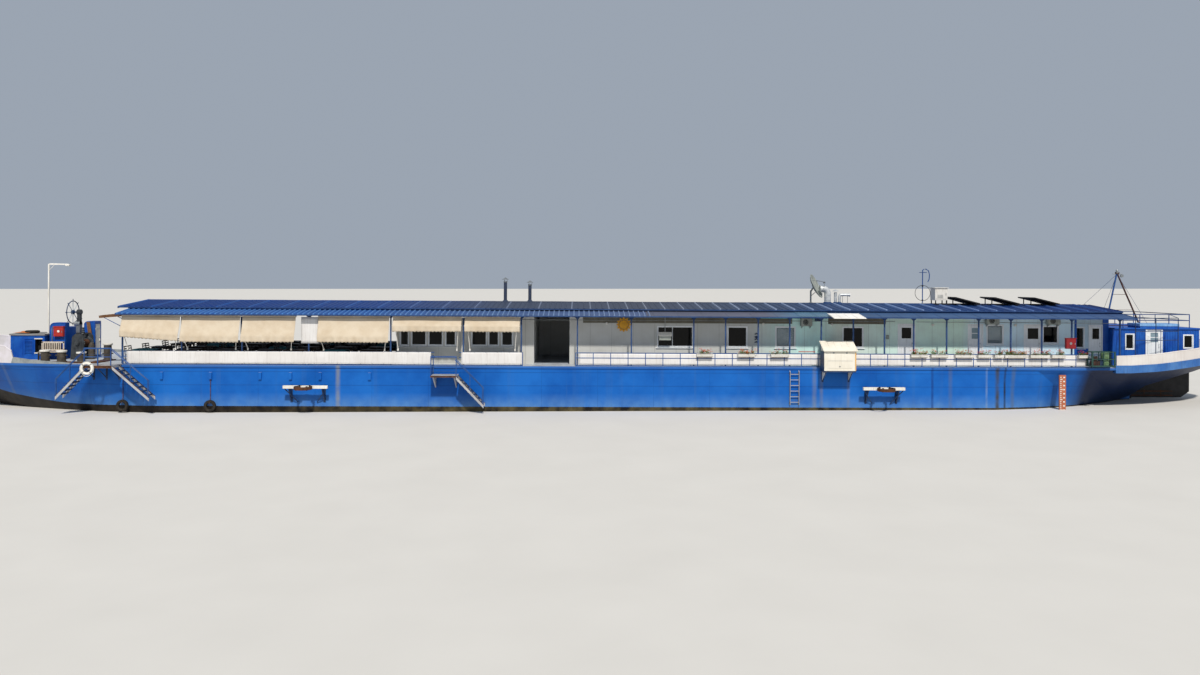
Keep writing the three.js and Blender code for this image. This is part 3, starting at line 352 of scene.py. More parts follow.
def weathered(name, colour, faded, dirt="5a4a3a", patch=900, speck=35, dirty=0.62, rough=0.5, bump=0.25,
              metal=0.0, rain=0.25):
    """A painted or moulded surface outdoors: slow fading, small dirt specks and faint rain streaks."""
    made = Finish(name)
    fade = made.spread(made.noise(patch, 5, 0.6), 0.38, 0.64)
    fine = made.noise(speck, 6, 0.7)
    spots = made.spread(fine, dirty, dirty + 0.12, 0, 0.55)
    spotted = made.mix(spots, made.mix(fade, colour, faded), dirt)
    runs = made.spread(made.noise(60, 4, place=made.drawn_out(0.06)), 0.5, 0.75, 0, rain)
    return made.shade({
        "Base Color": made.mix(runs, spotted, dirt),
        "Roughness": made.spread(fine, 0, 1, rough - 0.12, rough + 0.15),
        "Normal": made.bump(fine, bump, 0.002),
        "Metallic": metal, "Specular IOR Level": 0.3})


# %% [markdown]
# ## Painted and moulded finishes
# Nearly all of the barge is alkyd enamel brushed on steel. It has an IOR near 1.5 and is semi-gloss when new;
# sun and river water dull it, so roughness sits near 0.5. Each colour below was read off the photograph.

# %% Paints
house_enamel = weathered("blue enamel on sheet steel", "0a46a0", "1a5ab0", "101c34", 700, 30, 0.64, 0.42)
eave_enamel = weathered("dull blue enamel on the eave", "203c6a", "304e7c", "2a1c16", 500, 18, 0.62, 0.5)
rail_enamel = weathered("blue enamel on tube", "1f4684", "335a90", "2a1c16", 500, 18, 0.62, 0.45)
dark_rail = weathered("dark blue enamel on tube", "1b2c4c", "2b4468", "2a1c16", 500, 18, 0.62, 0.45)
hood_blue = weathered("light blue enamel", "6f9ed2", "88b0dc", "3a5270", 500, 20, 0.64, 0.45, rain=0.3)
white_enamel = weathered("white enamel", "e6e4de", "d6d3ca", "8a7a64", 800, 25, 0.63, 0.45, rain=0.35)
# lit_white is lighter and cleaner than white_enamel; its extra lightness is painted light on the sunlit
# lean-to.
lit_white = weathered("white enamel lightened as painted light", "f2f0ec", "e6e4de", "9a9284", 800, 25, 0.68, 0.45, rain=0.1)
window_upvc = weathered("white moulded uPVC", "e9edf0", "dde2e6", "8a8a84", 900, 15, 0.7, 0.35, 0.1)
kiosk_enamel = weathered("cream enamel on panels", "e9e5d9", "dfd9ca", "9a8a70", 900, 30, 0.68, rain=0.15)
grey_enamel = weathered("grey enamel on machinery", "7f8688", "9aa0a0", "3a2e26", 300, 16, 0.58, 0.5, 0.4)
machine_grey = weathered("oily grey enamel on machinery", "2c3034", "44484c", "16120e", 300, 16, 0.56, 0.5,
                         0.4)
bollard_paint = weathered("dark bollard enamel", "3e3a34", "565048", "2a1c14", 260, 16, 0.58, 0.7, 0.5)
stair_paint = weathered("pale grey enamel on channel", "b4b6b8", "9c9ea2", "8a5238", 500, 30, 0.6, rain=0.15)
pale_spoke = weathered("pale worn enamel on spokes", "a8b6c0", "c2cad0", "4a4038", 160, 12, 0.6)
deck_paint = weathered("grey deck paint", "8f9090", "7c7b78", "5a4234", 1200, 40, 0.58, 0.75, 0.5, rain=0.0)
black_paint = weathered("bitumen paint", "17181a", "26272a", "3a2c22", 400, 20, 0.62, 0.55)
red_enamel = weathered("red enamel", "b9352a", "9c2c26", "3a1612", 300, 18, 0.66, 0.4)
fire_paint = weathered("dark red enamel", "8c1c22", "7e2428", "2a100e", 300, 18, 0.62, 0.4)
yellow_sign = weathered("yellow enamel sign", "e0a422", "cf9420", "6a4a18", 200, 14, 0.66, 0.4)
# The olive boards at the wall's head stand in for the shade under the eave: painted shade.
eave_shade_paint = weathered("olive enamel as painted eave shade", "6e6b5e", "5c5a50", "2a2620", 700, 25, 0.6, 0.6, rain=0.3)
basket_green = weathered("green enamel on angle", "24403c", "30504a", "1a1814", 300, 18, 0.6)
draft_paint = weathered("orange draft scale paint", "b87050", "a45c42", "5a3a30", 300, 16, 0.6, 0.6)
mast_brown = weathered("rust-brown primer", "3c221e", "54322a", "1a0e0c", 260, 12, 0.56, 0.7, 0.5)
strake_paint = weathered("blue enamel on strake", "2c60a4", "4878b4", "3a3c4c", 900, 40, 0.6, rain=0.35)
bow_white = weathered("white enamel on the bow bulwark", "d8d4dc", "c8c4c4", "8a7a70", 900, 60, 0.66,
                      rain=0.15)
stern_white = weathered("white enamel over old rust", "dad7d4", "cfcac6", "8a5a3e", 1500, 120, 0.66,
                        rain=0.15)

# %% Metal, timber, plastics, cloth and plants
galvanised = weathered("hot-dip galvanised steel", "a3a8aa", "8d9396", "5c4c3e", 220, 14, 0.66, 0.42, 0.3,
                       0.7)
spiral = weathered("spiral-wound bright duct", "d4d8da", "b6bcc0", "6a625a", 160, 12, 0.66, 0.35, 0.3, 0.3)
rusty_plate = weathered("rusted plate", "4a3226", "6b4630", "1c1512", 260, 12, 0.55, 0.85, 0.6, metal=0.2)
tan_timber = weathered("weathered pine board", "7a5a40", "94745a", "3a2a1e", 90, 8, 0.55, 0.8, 0.6)
brown_board = weathered("dark weathered board", "6b4a32", "7d5c42", "2e2018", 90, 8, 0.55, 0.8, 0.6)
bench_paint = weathered("bleached hardwood slat", "d2c8ba", "b5a999", "4a3c30", 90, 8, 0.6, 0.75, 0.5)
furniture = weathered("stained hardwood", "241a14", "34261c", "140e0a", 200, 10, 0.66)
glass_fibre = weathered("grey glass fibre", "8d938e", "a0a6a0", "565a54", 400, 20, 0.64, 0.55)
tinted_fibre = weathered("tinted glass fibre sheet", "4f7088", "5a7c94", "3c545c", 700, 30, 0.66, 0.3, 0.15,
                         rain=0.1)
teal_edge = weathered("teal edge of the tinted sheet", "57a3ab", "68b4b8", "3c545c", 700, 30, 0.66, 0.35,
                      0.15)
rubber = weathered("tyre rubber", "1a1a1a", "2a2826", "5a4c3c", 160, 10, 0.55, 0.85, 0.5)
foam_white = weathered("foam ring cover", "eeece6", "e0dcd2", "90806a", 300, 14, 0.64, 0.6)
band_paint = weathered("grey tape", "8f8c88", "a09c98", "5a5650", 120, 10, 0.66)
green_drum = weathered("green plastic drum", "5c7a4c", "74906a", "2a3420", 200, 16, 0.66, 0.45)
banner_pvc = weathered("white PVC banner", "dfdedd", "d4d2d0", "9a9088", 1200, 40, 0.66, 0.4, 0.15)
# The windbreak's near-black is painted shade under the terrace roof.
shade_dark_pvc = weathered("dark PVC windbreak", "1c1a1a", "26242a", "100e0e", 1200, 40, 0.66, 0.6, 0.15, rain=0.1)
curtain_cloth = weathered("sheer polyester curtain", "dfe3e0", "cdd3d2", "a8aca8", 200, 10, 0.7, 0.8, 0.2)
orange_cloth = weathered("orange proofed cloth", "c8763e", "b0622e", "4a2a18", 160, 12, 0.6, 0.7)
table_linen = weathered("teal table linen", "3f8088", "55949a", "2a4a4e", 120, 8, 0.68, 0.85, 0.3, rain=0.0)
leaf = weathered("geranium leaf", "55703a", "7d8f44", "3a4422", 60, 8, 0.6, 0.6, 0.2, rain=0.0)
blossom_red = weathered("red petal", "c8382c", "d85a40", "7a1c18", 40, 6, 0.7, 0.6, 0.1, rain=0.0)
blossom_orange = weathered("orange petal", "d8742e", "e09a4c", "8a3c18", 40, 6, 0.7, 0.6, 0.1, rain=0.0)

# %% [markdown]
# ## Hull enamel
# One enamel covers the plating, but the eye reads several things in it: horizontal welds between strakes,
# plates dished a little between the frames, rain runs that start at the deck edge, a pale splash zone over
# the water, a dark bitumen boot band that climbs at the bow, and grey paint where the plating is a deck.
# Plating that faces down under the stern overhang is painted dark navy: painted shade.
# All of these depend only on the place on the hull and on which way the plate faces, so they are drawn from
# object coordinates and the surface normal.

# %% Hull enamel
STRAKE_WELDS = (2.66, 1.95)
PLATE_LONG = 3.0
FRAME_PITCH = 0.6
BOOT_TOP = 0.86
BOOT_RISE = 1.05
STAINS = [
    # runs below the scuppers: X, half width, strength, colour
    (-31.4, 0.14, 0.4, "6f8296"), (-33.2, 0.16, 0.25, "6f8296"), (-13.3, 0.16, 0.6, "8e8c78"),
    (12.15, 0.16, 0.35, "848270"), (12.53, 0.13, 0.35, "7c7a68"), (13.99, 0.12, 0.3, "7c7a68"),
    (18.55, 0.09, 0.7, "0c3276"), (19.53, 0.15, 0.4, "5a6168"), (21.50, 0.08, 0.3, "8fa8c8"),
    (22.09, 0.17, 0.9, "3c4048"), (22.53, 0.09, 0.8, "1c1e24"), (22.99, 0.16, 0.55, "566470"),
]
paint = Finish("marine enamel on hull plate")
length, height = paint.along(0), paint.along(2)
facing_up = paint.node("SeparateXYZ", {0: paint.node("NewGeometry").outputs["Normal"]}).outputs[2]
slow, middling, fine = paint.noise(2600, 6, 0.62), paint.noise(500, 5), paint.noise(55, 8, 0.7)

tone = paint.mix(paint.spread(slow, 0.36, 0.66), "0250a4", "1465bb")
splash = paint.math("MULTIPLY", paint.spread(height, 0.40, 0.78, 0.75, 0), middling)
tone = paint.mix(splash, tone, "6f9cc4")
runs = paint.spread(paint.noise(420, 5, 0.6, paint.drawn_out(0.035)), 0.56, 0.78, 0, 0.3)
tone = paint.mix(runs, tone, "3f6496")
welds = [paint.math("COMPARE", height, z * SCALE, 0.012 * SCALE) for z in STRAKE_WELDS]
butt = paint.math("FLOORED_MODULO", length, PLATE_LONG * SCALE)
butts = paint.math("COMPARE", butt, 0.5 * SCALE, 0.006 * SCALE)
joints = paint.math("MAXIMUM", paint.math("MAXIMUM", *welds), butts)
tone = paint.mix(paint.math("MULTIPLY", joints, 0.45), tone, "06306c")
tone = paint.mix(paint.spread(height, 1.40, 1.50, 0, 0.45), tone, "4b6a94")
for x, half, strength, colour in STAINS:
    away = paint.math("ABSOLUTE", paint.math("SUBTRACT", length, x * SCALE))
    core = paint.spread(away, half * SCALE, half * SCALE / 4, 0, strength * 1.7)
    tone = paint.mix(paint.math("MULTIPLY", core, middling), tone, colour)

climb = paint.math("POWER", paint.spread(length, -13.6, -17.4), 1.7)
boot_line = paint.math("MULTIPLY_ADD", climb, BOOT_RISE * SCALE, BOOT_TOP * SCALE)
ragged = paint.math("MULTIPLY_ADD", fine, 0.03, height)
mud = paint.spread(middling, 0.35, 0.7)
silt = paint.mix(paint.spread(length, -10, -4), "2e2822", "554d32")
tone = paint.mix(paint.math("LESS_THAN", ragged, boot_line), tone, paint.mix(mud, "14110f", silt))
# under and aft pick out plating that faces down aft of about X 26.5 m; it is mixed towards dark navy as
# painted shade under the stern overhang.
under, aft = paint.spread(facing_up, -0.2, -0.55, 0, 0.92), paint.spread(length, 13.2, 13.7)
tone = paint.mix(paint.math("MULTIPLY", under, aft), tone, "06102a")
tone = paint.mix(paint.math("GREATER_THAN", facing_up, 0.9), tone, paint.mix(mud, "bac4ce", "9c9ca0"))
dished = paint.math("SINE", paint.math("MULTIPLY", length, 2 * math.pi / (FRAME_PITCH * SCALE)))
relief = paint.bump(fine, 0.25, 0.003, paint.bump(dished, 0.12, 0.004))
hull_enamel = paint.shade({
    "Base Color": tone, "Roughness": paint.spread(slow, 0, 1, 0.34, 0.6),
    "Normal": paint.bump(joints, 0.6, 0.004, relief), "Specular IOR Level": 0.2})

# %% [markdown]
# ## Deckhouse panels and roof sheet
# The deckhouse is clad in enamelled sheet panels. The far half of the near wall stands under tinted roof
# panes, which wash it teal and then light blue. Standing alone the model has no tinted daylight, so the wash
# is part of the panels' own colour, set along the hull with a colour ramp.
# The roof is trapezoidal steel sheet with a baked blue coating, faded grey amidships.


# %% Panels and sheet
def along_hull(made, stops):
    """Colour by the place along the hull. stops holds (X in real metres, hex)."""
    first, last = stops[0][0], stops[-1][0]
    ramp = made.node("ValToRGB", {0: made.spread(made.along(0), first * SCALE, last * SCALE)})
    elements = ramp.color_ramp.elements
    elements[0].color = linear(stops[0][1])
    elements[-1].color = linear(stops[-1][1])
    for x, colour in stops[1:-1]:
        elements.new((x - first) / (last - first)).color = linear(colour)
    return ramp.outputs[0]


def sheet_metal(name, dirt, joint_pitch, streak, stops):
    """Enamelled sheet whose colour changes along the hull, with upright joints and rain streaks."""
    made = Finish(name)
    tone = made.spread(made.noise(800, 5), 0.4, 0.7, 0, 0.22)
    runs = made.spread(made.noise(120, 4, place=made.drawn_out(0.05)), 0.52, 0.75, 0, streak)
    streaked = made.mix(runs, made.mix(tone, along_hull(made, stops), dirt), dirt)
    part = made.math("FLOORED_MODULO", made.along(0), joint_pitch * SCALE)
    joint = made.math("COMPARE", part, 0.1 * SCALE, 0.007 * SCALE)
    fine = made.noise(25, 6)
    return made.shade({
        "Base Color": made.mix(made.math("MULTIPLY", joint, 0.5), streaked, "4a4d4c"),
        "Roughness": made.spread(fine, 0, 1, 0.4, 0.62),
        "Normal": made.bump(joint, 0.5, 0.003, made.bump(fine, 0.15, 0.002), invert=True),
        "Specular IOR Level": 0.15})


wall_panels = sheet_metal("enamelled sheet panel", "9a988c", 1.18, 0.15, [
    (-10.5, "cacac4"), (-1.0, "c4c5c2"), (9.0, "c4c8c6"), (11.4, "cef4f0"), (12.8, "cef2ee"),
    (13.8, "d4ded6"), (16.5, "d2ece4"), (20.6, "d0ecde"), (21.4, "d0e8f4"), (27.0, "cce8f8"),
    (29.5, "b0c4d4")])
upper_sheet = sheet_metal("coated trapezoidal steel sheet", "3c4454", 3.6, 0.12, [
    (-25, "083478"), (-12, "10397c"), (-5, "364056"), (3, "3c4252"), (10, "30405c"), (18, "183c70"),
    (29.8, "002668")])
# The crest colours are lighter than the sheet's own colours: a painted highlight on the rib crests.
upper_crest_highlight = sheet_metal("coated sheet on the rib crests", "5c6474", 3.6, 0.1, [
    (-25, "2c5ea8"), (-12, "345fa4"), (-5, "6a7690"), (3, "808898"), (10, "94a4c0"), (18, "86a2d0"),
    (29.8, "1d54a4")])
lower_sheet = sheet_metal("coated sheet on the lower roof", "3c4454", 3.6, 0.12, [
    (-25, "1c4a92"), (-12, "204c90"), (-5, "3c5684"), (3.4, "4c5c80"), (29.8, "1d4a90")])
# Lighter crests on the lower roof too: a painted highlight.
lower_crest_highlight = sheet_metal("coated sheet on the lower crests", "5c6474", 3.6, 0.1, [
    (-25, "4a80c2"), (-12, "4c7ebc"), (-5, "6684ae"), (3.4, "7486a6"), (29.8, "3a6cb4")])
lean_to_sheet = sheet_metal("flat sheet on the lower roof", "3c3a40", 1.9, 0.2, [
    (3.0, "565a6c"), (9.5, "5e6070"), (11.3, "50708c"), (14, "3c577c"), (22, "3c5a84"), (29.6, "36507c")])

# %% [markdown]
# ## Canvas and glass
# Awning cloth is dope-dyed acrylic canvas: matte, with a fine weave and a soft sheen at grazing angles. The
# weave is 0.5 mm in reality, far too fine to show, so it is drawn eight times coarser. Window glass looks
# nearly black from outside, because the rooms are dark, so it is a dark, smooth surface that lets a little
# through.

# %% Canvas and glass
WEAVE_MM = 4
weaver = Finish("acrylic awning canvas")
tone = weaver.spread(weaver.noise(700, 5, 0.65), 0.38, 0.66)
threads = {"Vector": weaver.place, "Scale": per(WEAVE_MM * 6.28), "Distortion": 0.5}
weft, warp = (weaver.node("TexWave", threads, bands_direction=axis).outputs["Fac"] for axis in "XZ")
relief = weaver.bump(weaver.math("MULTIPLY", weft, warp), 0.2, 0.001)
canvas = weaver.shade({
    "Base Color": weaver.mix(tone, "ccbfaa", "c0b098"), "Roughness": 0.85, "Sheen Weight": 0.25,
    "Normal": weaver.bump(weaver.noise(260, 3), 0.25, 0.01, relief)})


def glazed(name, colour, opacity):
    made = Finish(name)
    smooth = made.spread(made.noise(180, 3), 0, 1, 0.04, 0.16)
    return made.shade({
        "Base Color": linear(colour), "Roughness": smooth, "IOR": 1.52, "Specular IOR Level": 0.15,
        "Alpha": opacity})


dark_glass = glazed("window glass before a dark room", "050708", 0.95)
clear_glass = glazed("window glass before a drawn blind", "9fb0b8", 0.3)
hazy_glass = glazed("hazy door glass", "7f949f", 1.0)
cell_glass = glazed("dark cell glass", "07080c", 1.0)


# %% Finishing CAD nodes
def coat(material, *names):
    """Gives CAD nodes their finish."""
    for name in names:
        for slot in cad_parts[name].material_slots:
            slot.material = material


def copy_of(name):
    """A Form with the points and faces of a CAD node, to be given smooth or bevelled edges."""
    form = Form()
    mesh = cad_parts[name].data
    form.add([v.co / SCALE for v in mesh.vertices], [tuple(p.vertices) for p in mesh.polygons])
    return form


def flatten(made):
    """Joins the triangles of flat faces, so that a bevel finds clean edges."""
    work = bmesh.new()
    work.from_mesh(made.data)
    bmesh.ops.dissolve_limit(work, angle_limit=math.radians(1), verts=work.verts, edges=work.edges)
    work.to_mesh(made.data)
    work.free()
    made.data.set_sharp_from_angle(angle=math.radians(35))


def painted(name, materials, choose):
    """A CAD node in several paints. choose gives the number of a face's paint from its middle."""
    form = copy_of(name)
    form.paints = [choose(*(face.center / SCALE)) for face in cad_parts[name].data.polygons]
    piece(f"{name}_painted", form, materials, replaces=[name])


# %% [markdown]
# ## Hull
# The CAD hull is faceted between its stations. Shading it smooth over shallow angles gives the plates their
# bent look and keeps the knuckles and the deck edge crisp. A blue strake stiffens the overhang at the stern,
# with the white bulwark over it, and an orange draft scale is painted near the aft end of the flat side.


# %% Hull plating and strakes
def rim(name, sign):
    """Outer top edge of a CAD node on one side, as (x, y, z) in real metres, from bow to stern."""
    stations = {}
    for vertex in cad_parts[name].data.vertices:
        x, y, z = (c / SCALE for c in vertex.co)
        key = round(x, 2)
        if y * sign > 0 and (key not in stations or (round(z, 2), y * sign) > stations[key]):
            stations[key] = (round(z, 2), y * sign)
    return [(x, reach * sign, z) for x, (z, reach) in sorted(stations.items())]


def between(line, x):
    """Point on a line of (x, y, z) at any x inside it."""
    for a, b in zip(line, line[1:]):
        if a[0] <= x <= b[0]:
            share = (x - a[0]) / (b[0] - a[0])
            return tuple(p + share * (q - p) for p, q in zip(a, b))
    return line[0] if x < line[0][0] else line[-1]


for name, label in (("hull_bow", "bow_plating"), ("hull_stern", "stern_plating")):
    piece(label, copy_of(name), [hull_enamel], replaces=[name], smooth=26)
coat(hull_enamel, "hull_midbody")

STRAKE_FROM = 28.6
STRAKE_HEIGHT = 0.42
STRAKE_RISE = 0.14     # how far it stands up outside the foot of the bulwark
strake = Form()
for sign in (near, far):
    line = rim("hull_stern", sign)
    sections = []
    for x in [STRAKE_FROM] + [p[0] for p in line if p[0] > STRAKE_FROM + 0.1]:
        _, y, z = between(line, x)
        inside = y - sign * min(0.3, abs(y) * 0.6)
        out, lip = y + sign * 0.012, y - sign * 0.006
        top, low, seat = z + STRAKE_RISE, z + STRAKE_RISE - STRAKE_HEIGHT, z - 0.006
        outline = ((out, top), (out, low), (inside, low), (inside, seat), (lip, seat), (lip, top))
        sections.append([(x, u, v) for u, v in outline])
    strake.loft(sections)
piece("stern_strake", strake, [strake_paint], smooth=30)

# %% Draft scale
SCALE_X = 25.64
SCALE_FACE = (-4.442, -4.43)
board = Form()
board.block((SCALE_X - 0.18, SCALE_X + 0.18), (-4.435, -4.36), (0.62, 2.62))
for i in range(17):
    z = 0.72 + i * 0.11
    reach = 0.13 if i % 5 == 0 else 0.07
    board.block((SCALE_X - 0.14, SCALE_X - 0.14 + reach), SCALE_FACE, (z, z + 0.045), 1)
    if i % 2 == 0:
        board.block((SCALE_X + 0.03, SCALE_X + 0.12), SCALE_FACE, (z - 0.02, z + 0.05), 1)
piece("draft_scale", board, [draft_paint, white_enamel], edge=0.003)

# %% [markdown]
# ## Bulwarks
# Bulwark plates are thin, so what shows is their top edge, capped with a half-round bar. The bow one turns
# from white to grey behind the hatch, and the white stern one has rust.

# %% Bulwark plates and capping
BOW_WHITE_TO = -30.8
painted("bulwark_bow", [bow_white, grey_enamel], lambda x, y, z: int(x > BOW_WHITE_TO))
flatten(piece("bulwark_stern_finished", copy_of("bulwark_stern"), [stern_white], replaces=["bulwark_stern"],
              edge=0.006))
for name, material, last in (("bulwark_bow", bow_white, BOW_WHITE_TO), ("bulwark_stern", stern_white, 37.3)):
    cap = Form()
    for sign in (near, far):
        line = [(x, y - sign * 0.03, z + 0.005) for x, y, z in rim(name, sign)]
        cap.tube([p for p in line if -36.9 < p[0] < last], 0.042, 8)
    piece(f"{name}_capping", cap, [material])

# %% [markdown]
# ## Roof
# The upper roof is a low gable and the lower one a lean-to on each side, with a step between them that lets
# smoke out. Trapezoidal sheet has a rib every 0.3 m that runs down the slope, and each sheet's side lap makes
# a taller one. The taller ribs of the upper roof and every rib of the lower roof are painted paler than the
# sheet between them: a painted highlight on the crests. Aft of the fourth metre the near lean-to is flat
# sheet with low seams, and one bay of it is tinted glass fibre.

# %% Roof slopes
ROOF_FROM, ROOF_TO = span("roof_lower_far")[0]
UPPER_FROM = span("roof_upper_fore")[0][0]
RIDGE = (0.0, 6.32)
UPPER_EAVE = (3.29, 6.04)
LEAN_TOP = (3.251, 5.90)
LEAN_EAVE = (4.60, 5.71)
FLAT_FROM = 3.3
TINTED_FROM = 11.3
RIB_WIDE, RIB_HIGH = 0.11, 0.03


def rib(form, x, upper, lower, side, wide=RIB_WIDE, high=RIB_HIGH, paint=0):
    """One folded rib from the upper to the lower end of a slope, each given as (|Y|, Z)."""
    points = []
    for reach, z in (upper, lower):
        for across, rise in ((-0.5, -0.006), (0.5, -0.006), (0.24, high), (-0.24, high)):
            points.append((x + across * wide, side * reach, z + rise))
    form.add(points, [(0, 1, 2, 3), (7, 6, 5, 4), (1, 5, 6, 2), (2, 6, 7, 3), (3, 7, 4, 0)], paint)


def lay_ribs(form, start, end, pitch, upper, lower, side, tall_every):
    for i in range(int((end - start - 0.1) / pitch) + 1):
        tall = i % tall_every == 0
        rib(form, start + 0.08 + i * pitch, upper, lower, side, RIB_WIDE * (0.8 if tall else 1),
            RIB_HIGH * (1.7 if tall else 1), int(tall))


coat(upper_sheet, "roof_upper_fore", "roof_upper_aft")
coat(lower_sheet, "roof_lower_near_fore", "roof_lower_far")
coat(lean_to_sheet, "roof_lower_near_aft")
for side, word in ((near, "near"), (far, "far")):
    upper_ribs, lower_ribs = Form(), Form()
    lay_ribs(upper_ribs, UPPER_FROM, -1.0, 0.29, RIDGE, (3.31, UPPER_EAVE[1]), side, 6)
    lay_ribs(upper_ribs, -1.0, ROOF_TO, 0.34, RIDGE, (3.31, UPPER_EAVE[1]), side, 3)
    lower_end = FLAT_FROM if side == near else ROOF_TO
    lay_ribs(lower_ribs, ROOF_FROM, lower_end, 0.27, LEAN_TOP, (4.63, LEAN_EAVE[1]), side, 1)
    piece(f"upper_ribs_{word}", upper_ribs, [upper_sheet, upper_crest_highlight], smooth=20)
    piece(f"lower_ribs_{word}", lower_ribs, [lower_sheet, lower_crest_highlight], smooth=20)

# %% Roof trim
BOARD_THICK = 0.035
trim = Form()
for side in (near, far):
    trim.block((UPPER_FROM - 0.01, ROOF_TO + 0.01), (side * 3.3, side * 3.33), (5.975, 6.035), 1)
    trim.block((ROOF_FROM - 0.01, ROOF_TO + 0.01), (side * 4.6, side * 4.625), (5.64, 5.70), 1)
    for fore_end, (y0, z0), (y1, z1) in ((UPPER_FROM, RIDGE, UPPER_EAVE), (ROOF_FROM, LEAN_TOP, LEAN_EAVE)):
        board = [(side * y0, z0 + 0.02), (side * y1, z1 + 0.02), (side * y1, z1 - 0.09),
                 (side * y0, z0 - 0.09)]
        trim.prism(board, 0, (fore_end, fore_end - BOARD_THICK), 1)
        trim.prism(board, 0, (ROOF_TO, ROOF_TO + BOARD_THICK), 1)
ridge_cap = [(-0.2, 6.315), (0, 6.365), (0.2, 6.315), (0.2, 6.30), (0, 6.35), (-0.2, 6.30)]
for i in range(int((ROOF_TO - UPPER_FROM) / 2)):
    x = UPPER_FROM + 2 * i
    trim.prism([(y, z + 0.004 * (i % 2)) for y, z in ridge_cap], 0, (x, min(x + 2.04, ROOF_TO)), 0)
piece("roof_trim", trim, [upper_sheet, eave_enamel])

SEAMS = ((13.6, 1.07, 15, 0.05, 0.014), (FLAT_FROM + 0.2, 1.32, 6, 0.07, 0.012))
seams = Form()
for first, pitch, count, wide, high in SEAMS:
    for i in range(count):
        rib(seams, first + i * pitch, LEAN_TOP, (4.615, LEAN_EAVE[1]), near, wide, high)
piece("lean_to_seams", seams, [lean_to_sheet])

panes = Form()
panes.block((9.4, 13.12), (-3.34, -3.256), (5.56, 5.70), 1)
for x in (TINTED_FROM, TINTED_FROM + 0.9):
    outline = [(-3.26, 5.907), (-4.63, 5.7145), (-4.63, 5.722), (-3.26, 5.914)]
    panes.prism(outline, 0, (x + 0.01, x + 0.89))
    for j in range(5):
        rib(panes, x + 0.1 + j * 0.17, (3.26, 5.912), (4.63, 5.72), near, 0.06, 0.018)
piece("tinted_roof_panes", panes, [tinted_fibre, teal_edge])

VENT_Y = 0.6
cowls = Form()
for x, top in ((-4.86, 7.53), (-3.42, 7.36)):
    pipe = (x, VENT_Y, 0)
    cowls.turned([(0, top + 0.22), (0.19, top + 0.10), (0.19, top + 0.085), (0.09, top + 0.11),
                  (0, top + 0.11)], pipe, 2, 16)
    for foot, head in zip(circle(3, 0.09, 0, x, VENT_Y), circle(3, 0.13, 0, x, VENT_Y)):
        cowls.tube([(*foot, top - 0.06), (*head, top + 0.11)], 0.008, 5)
    cowls.collar(pipe, 2, 0.105, 0.115, top - 0.02, top - 0.07)
    cowls.turned([(0.102, 6.42), (0.21, 6.31), (0.21, 6.24), (0.102, 6.24)], pipe, 2, 16, 1)
piece("vent_cowls", cowls, [galvanised, upper_sheet])

# %% [markdown]
# ## Frames and railings
# Square tube, brushed with blue enamel. The eave frames already have their real form, so they only get a
# finish, and small brackets and base plates where each post meets deck and beam.

# %% Posts
coat(eave_enamel, "terrace_frame", "eave_frame_near", "eave_frame_far")
coat(rail_enamel, "railing_near_fore", "railing_near_aft", "railing_far")
BEAM_UNDER = span("eave_frame_near")[2][1] - 0.09
TERRACE_POSTS = (-24.72, -21.60, -18.42, -14.90, -10.56)
NEAR_POSTS = (-6.69, -3.60, -0.60, 2.30, 5.66, 7.38, 9.14, 10.85, 12.56, 14.30, 16.00, 17.59, 19.39, 21.14,
              22.90, 24.60, 26.25, 28.90)
FAR_POSTS = (-6.69, -3.60, 0.0, 3.60, 7.38, 10.85, 14.30, 17.59, 21.14, 24.60, 28.90)
shoes = Form()
for y, places in ((near * 4.2, TERRACE_POSTS + NEAR_POSTS), (far * 4.2, TERRACE_POSTS + FAR_POSTS)):
    for x in places:
        shoes.block((x - 0.075, x + 0.075), (y - 0.075, y + 0.075), (DECK, DECK + 0.014))
        for sign in (-1, 1):
            root = x + sign * 0.034
            under = BEAM_UNDER + 0.002
            if ROOF_FROM < x + sign * 0.2 < ROOF_TO:
                gusset = [(root, BEAM_UNDER - 0.13), (root + sign * 0.13, under), (root, under)]
                shoes.prism(gusset, 1, (y - 0.006, y + 0.006))
piece("post_shoes", shoes, [eave_enamel])

# %% [markdown]
# ## Awnings
# Six cream awnings unroll from tubes under the eave. Each is one sheet of canvas that runs out to a front
# bar, stays up on two pale arms that stand on the railing, and ends in a loose valance with a scalloped hem.
# The cloth hangs a little hollow between tube and bar, and the first one has slipped at its aft arm.

# %% Awning cloth
AWNING_TOP = (4.335, 5.60)
VALANCE = 0.33
SCALLOP = 0.19
HEM_CUT = 0.045
AWNINGS = [
    # name, X from, X to, height of the bar fore and aft, reach of the bar
    ("awning_1", -24.68, -21.64, 4.80, 4.58, 0.31), ("awning_2", -21.54, -18.48, 4.55, 4.53, 0.31),
    ("awning_3", -18.36, -15.56, 4.55, 4.55, 0.31), ("awning_4", -14.36, -10.61, 4.56, 4.54, 0.31),
    ("awning_5", -10.42, -6.77, 5.13, 5.14, 0.27), ("awning_6", -6.60, -3.67, 5.14, 5.13, 0.27),
]


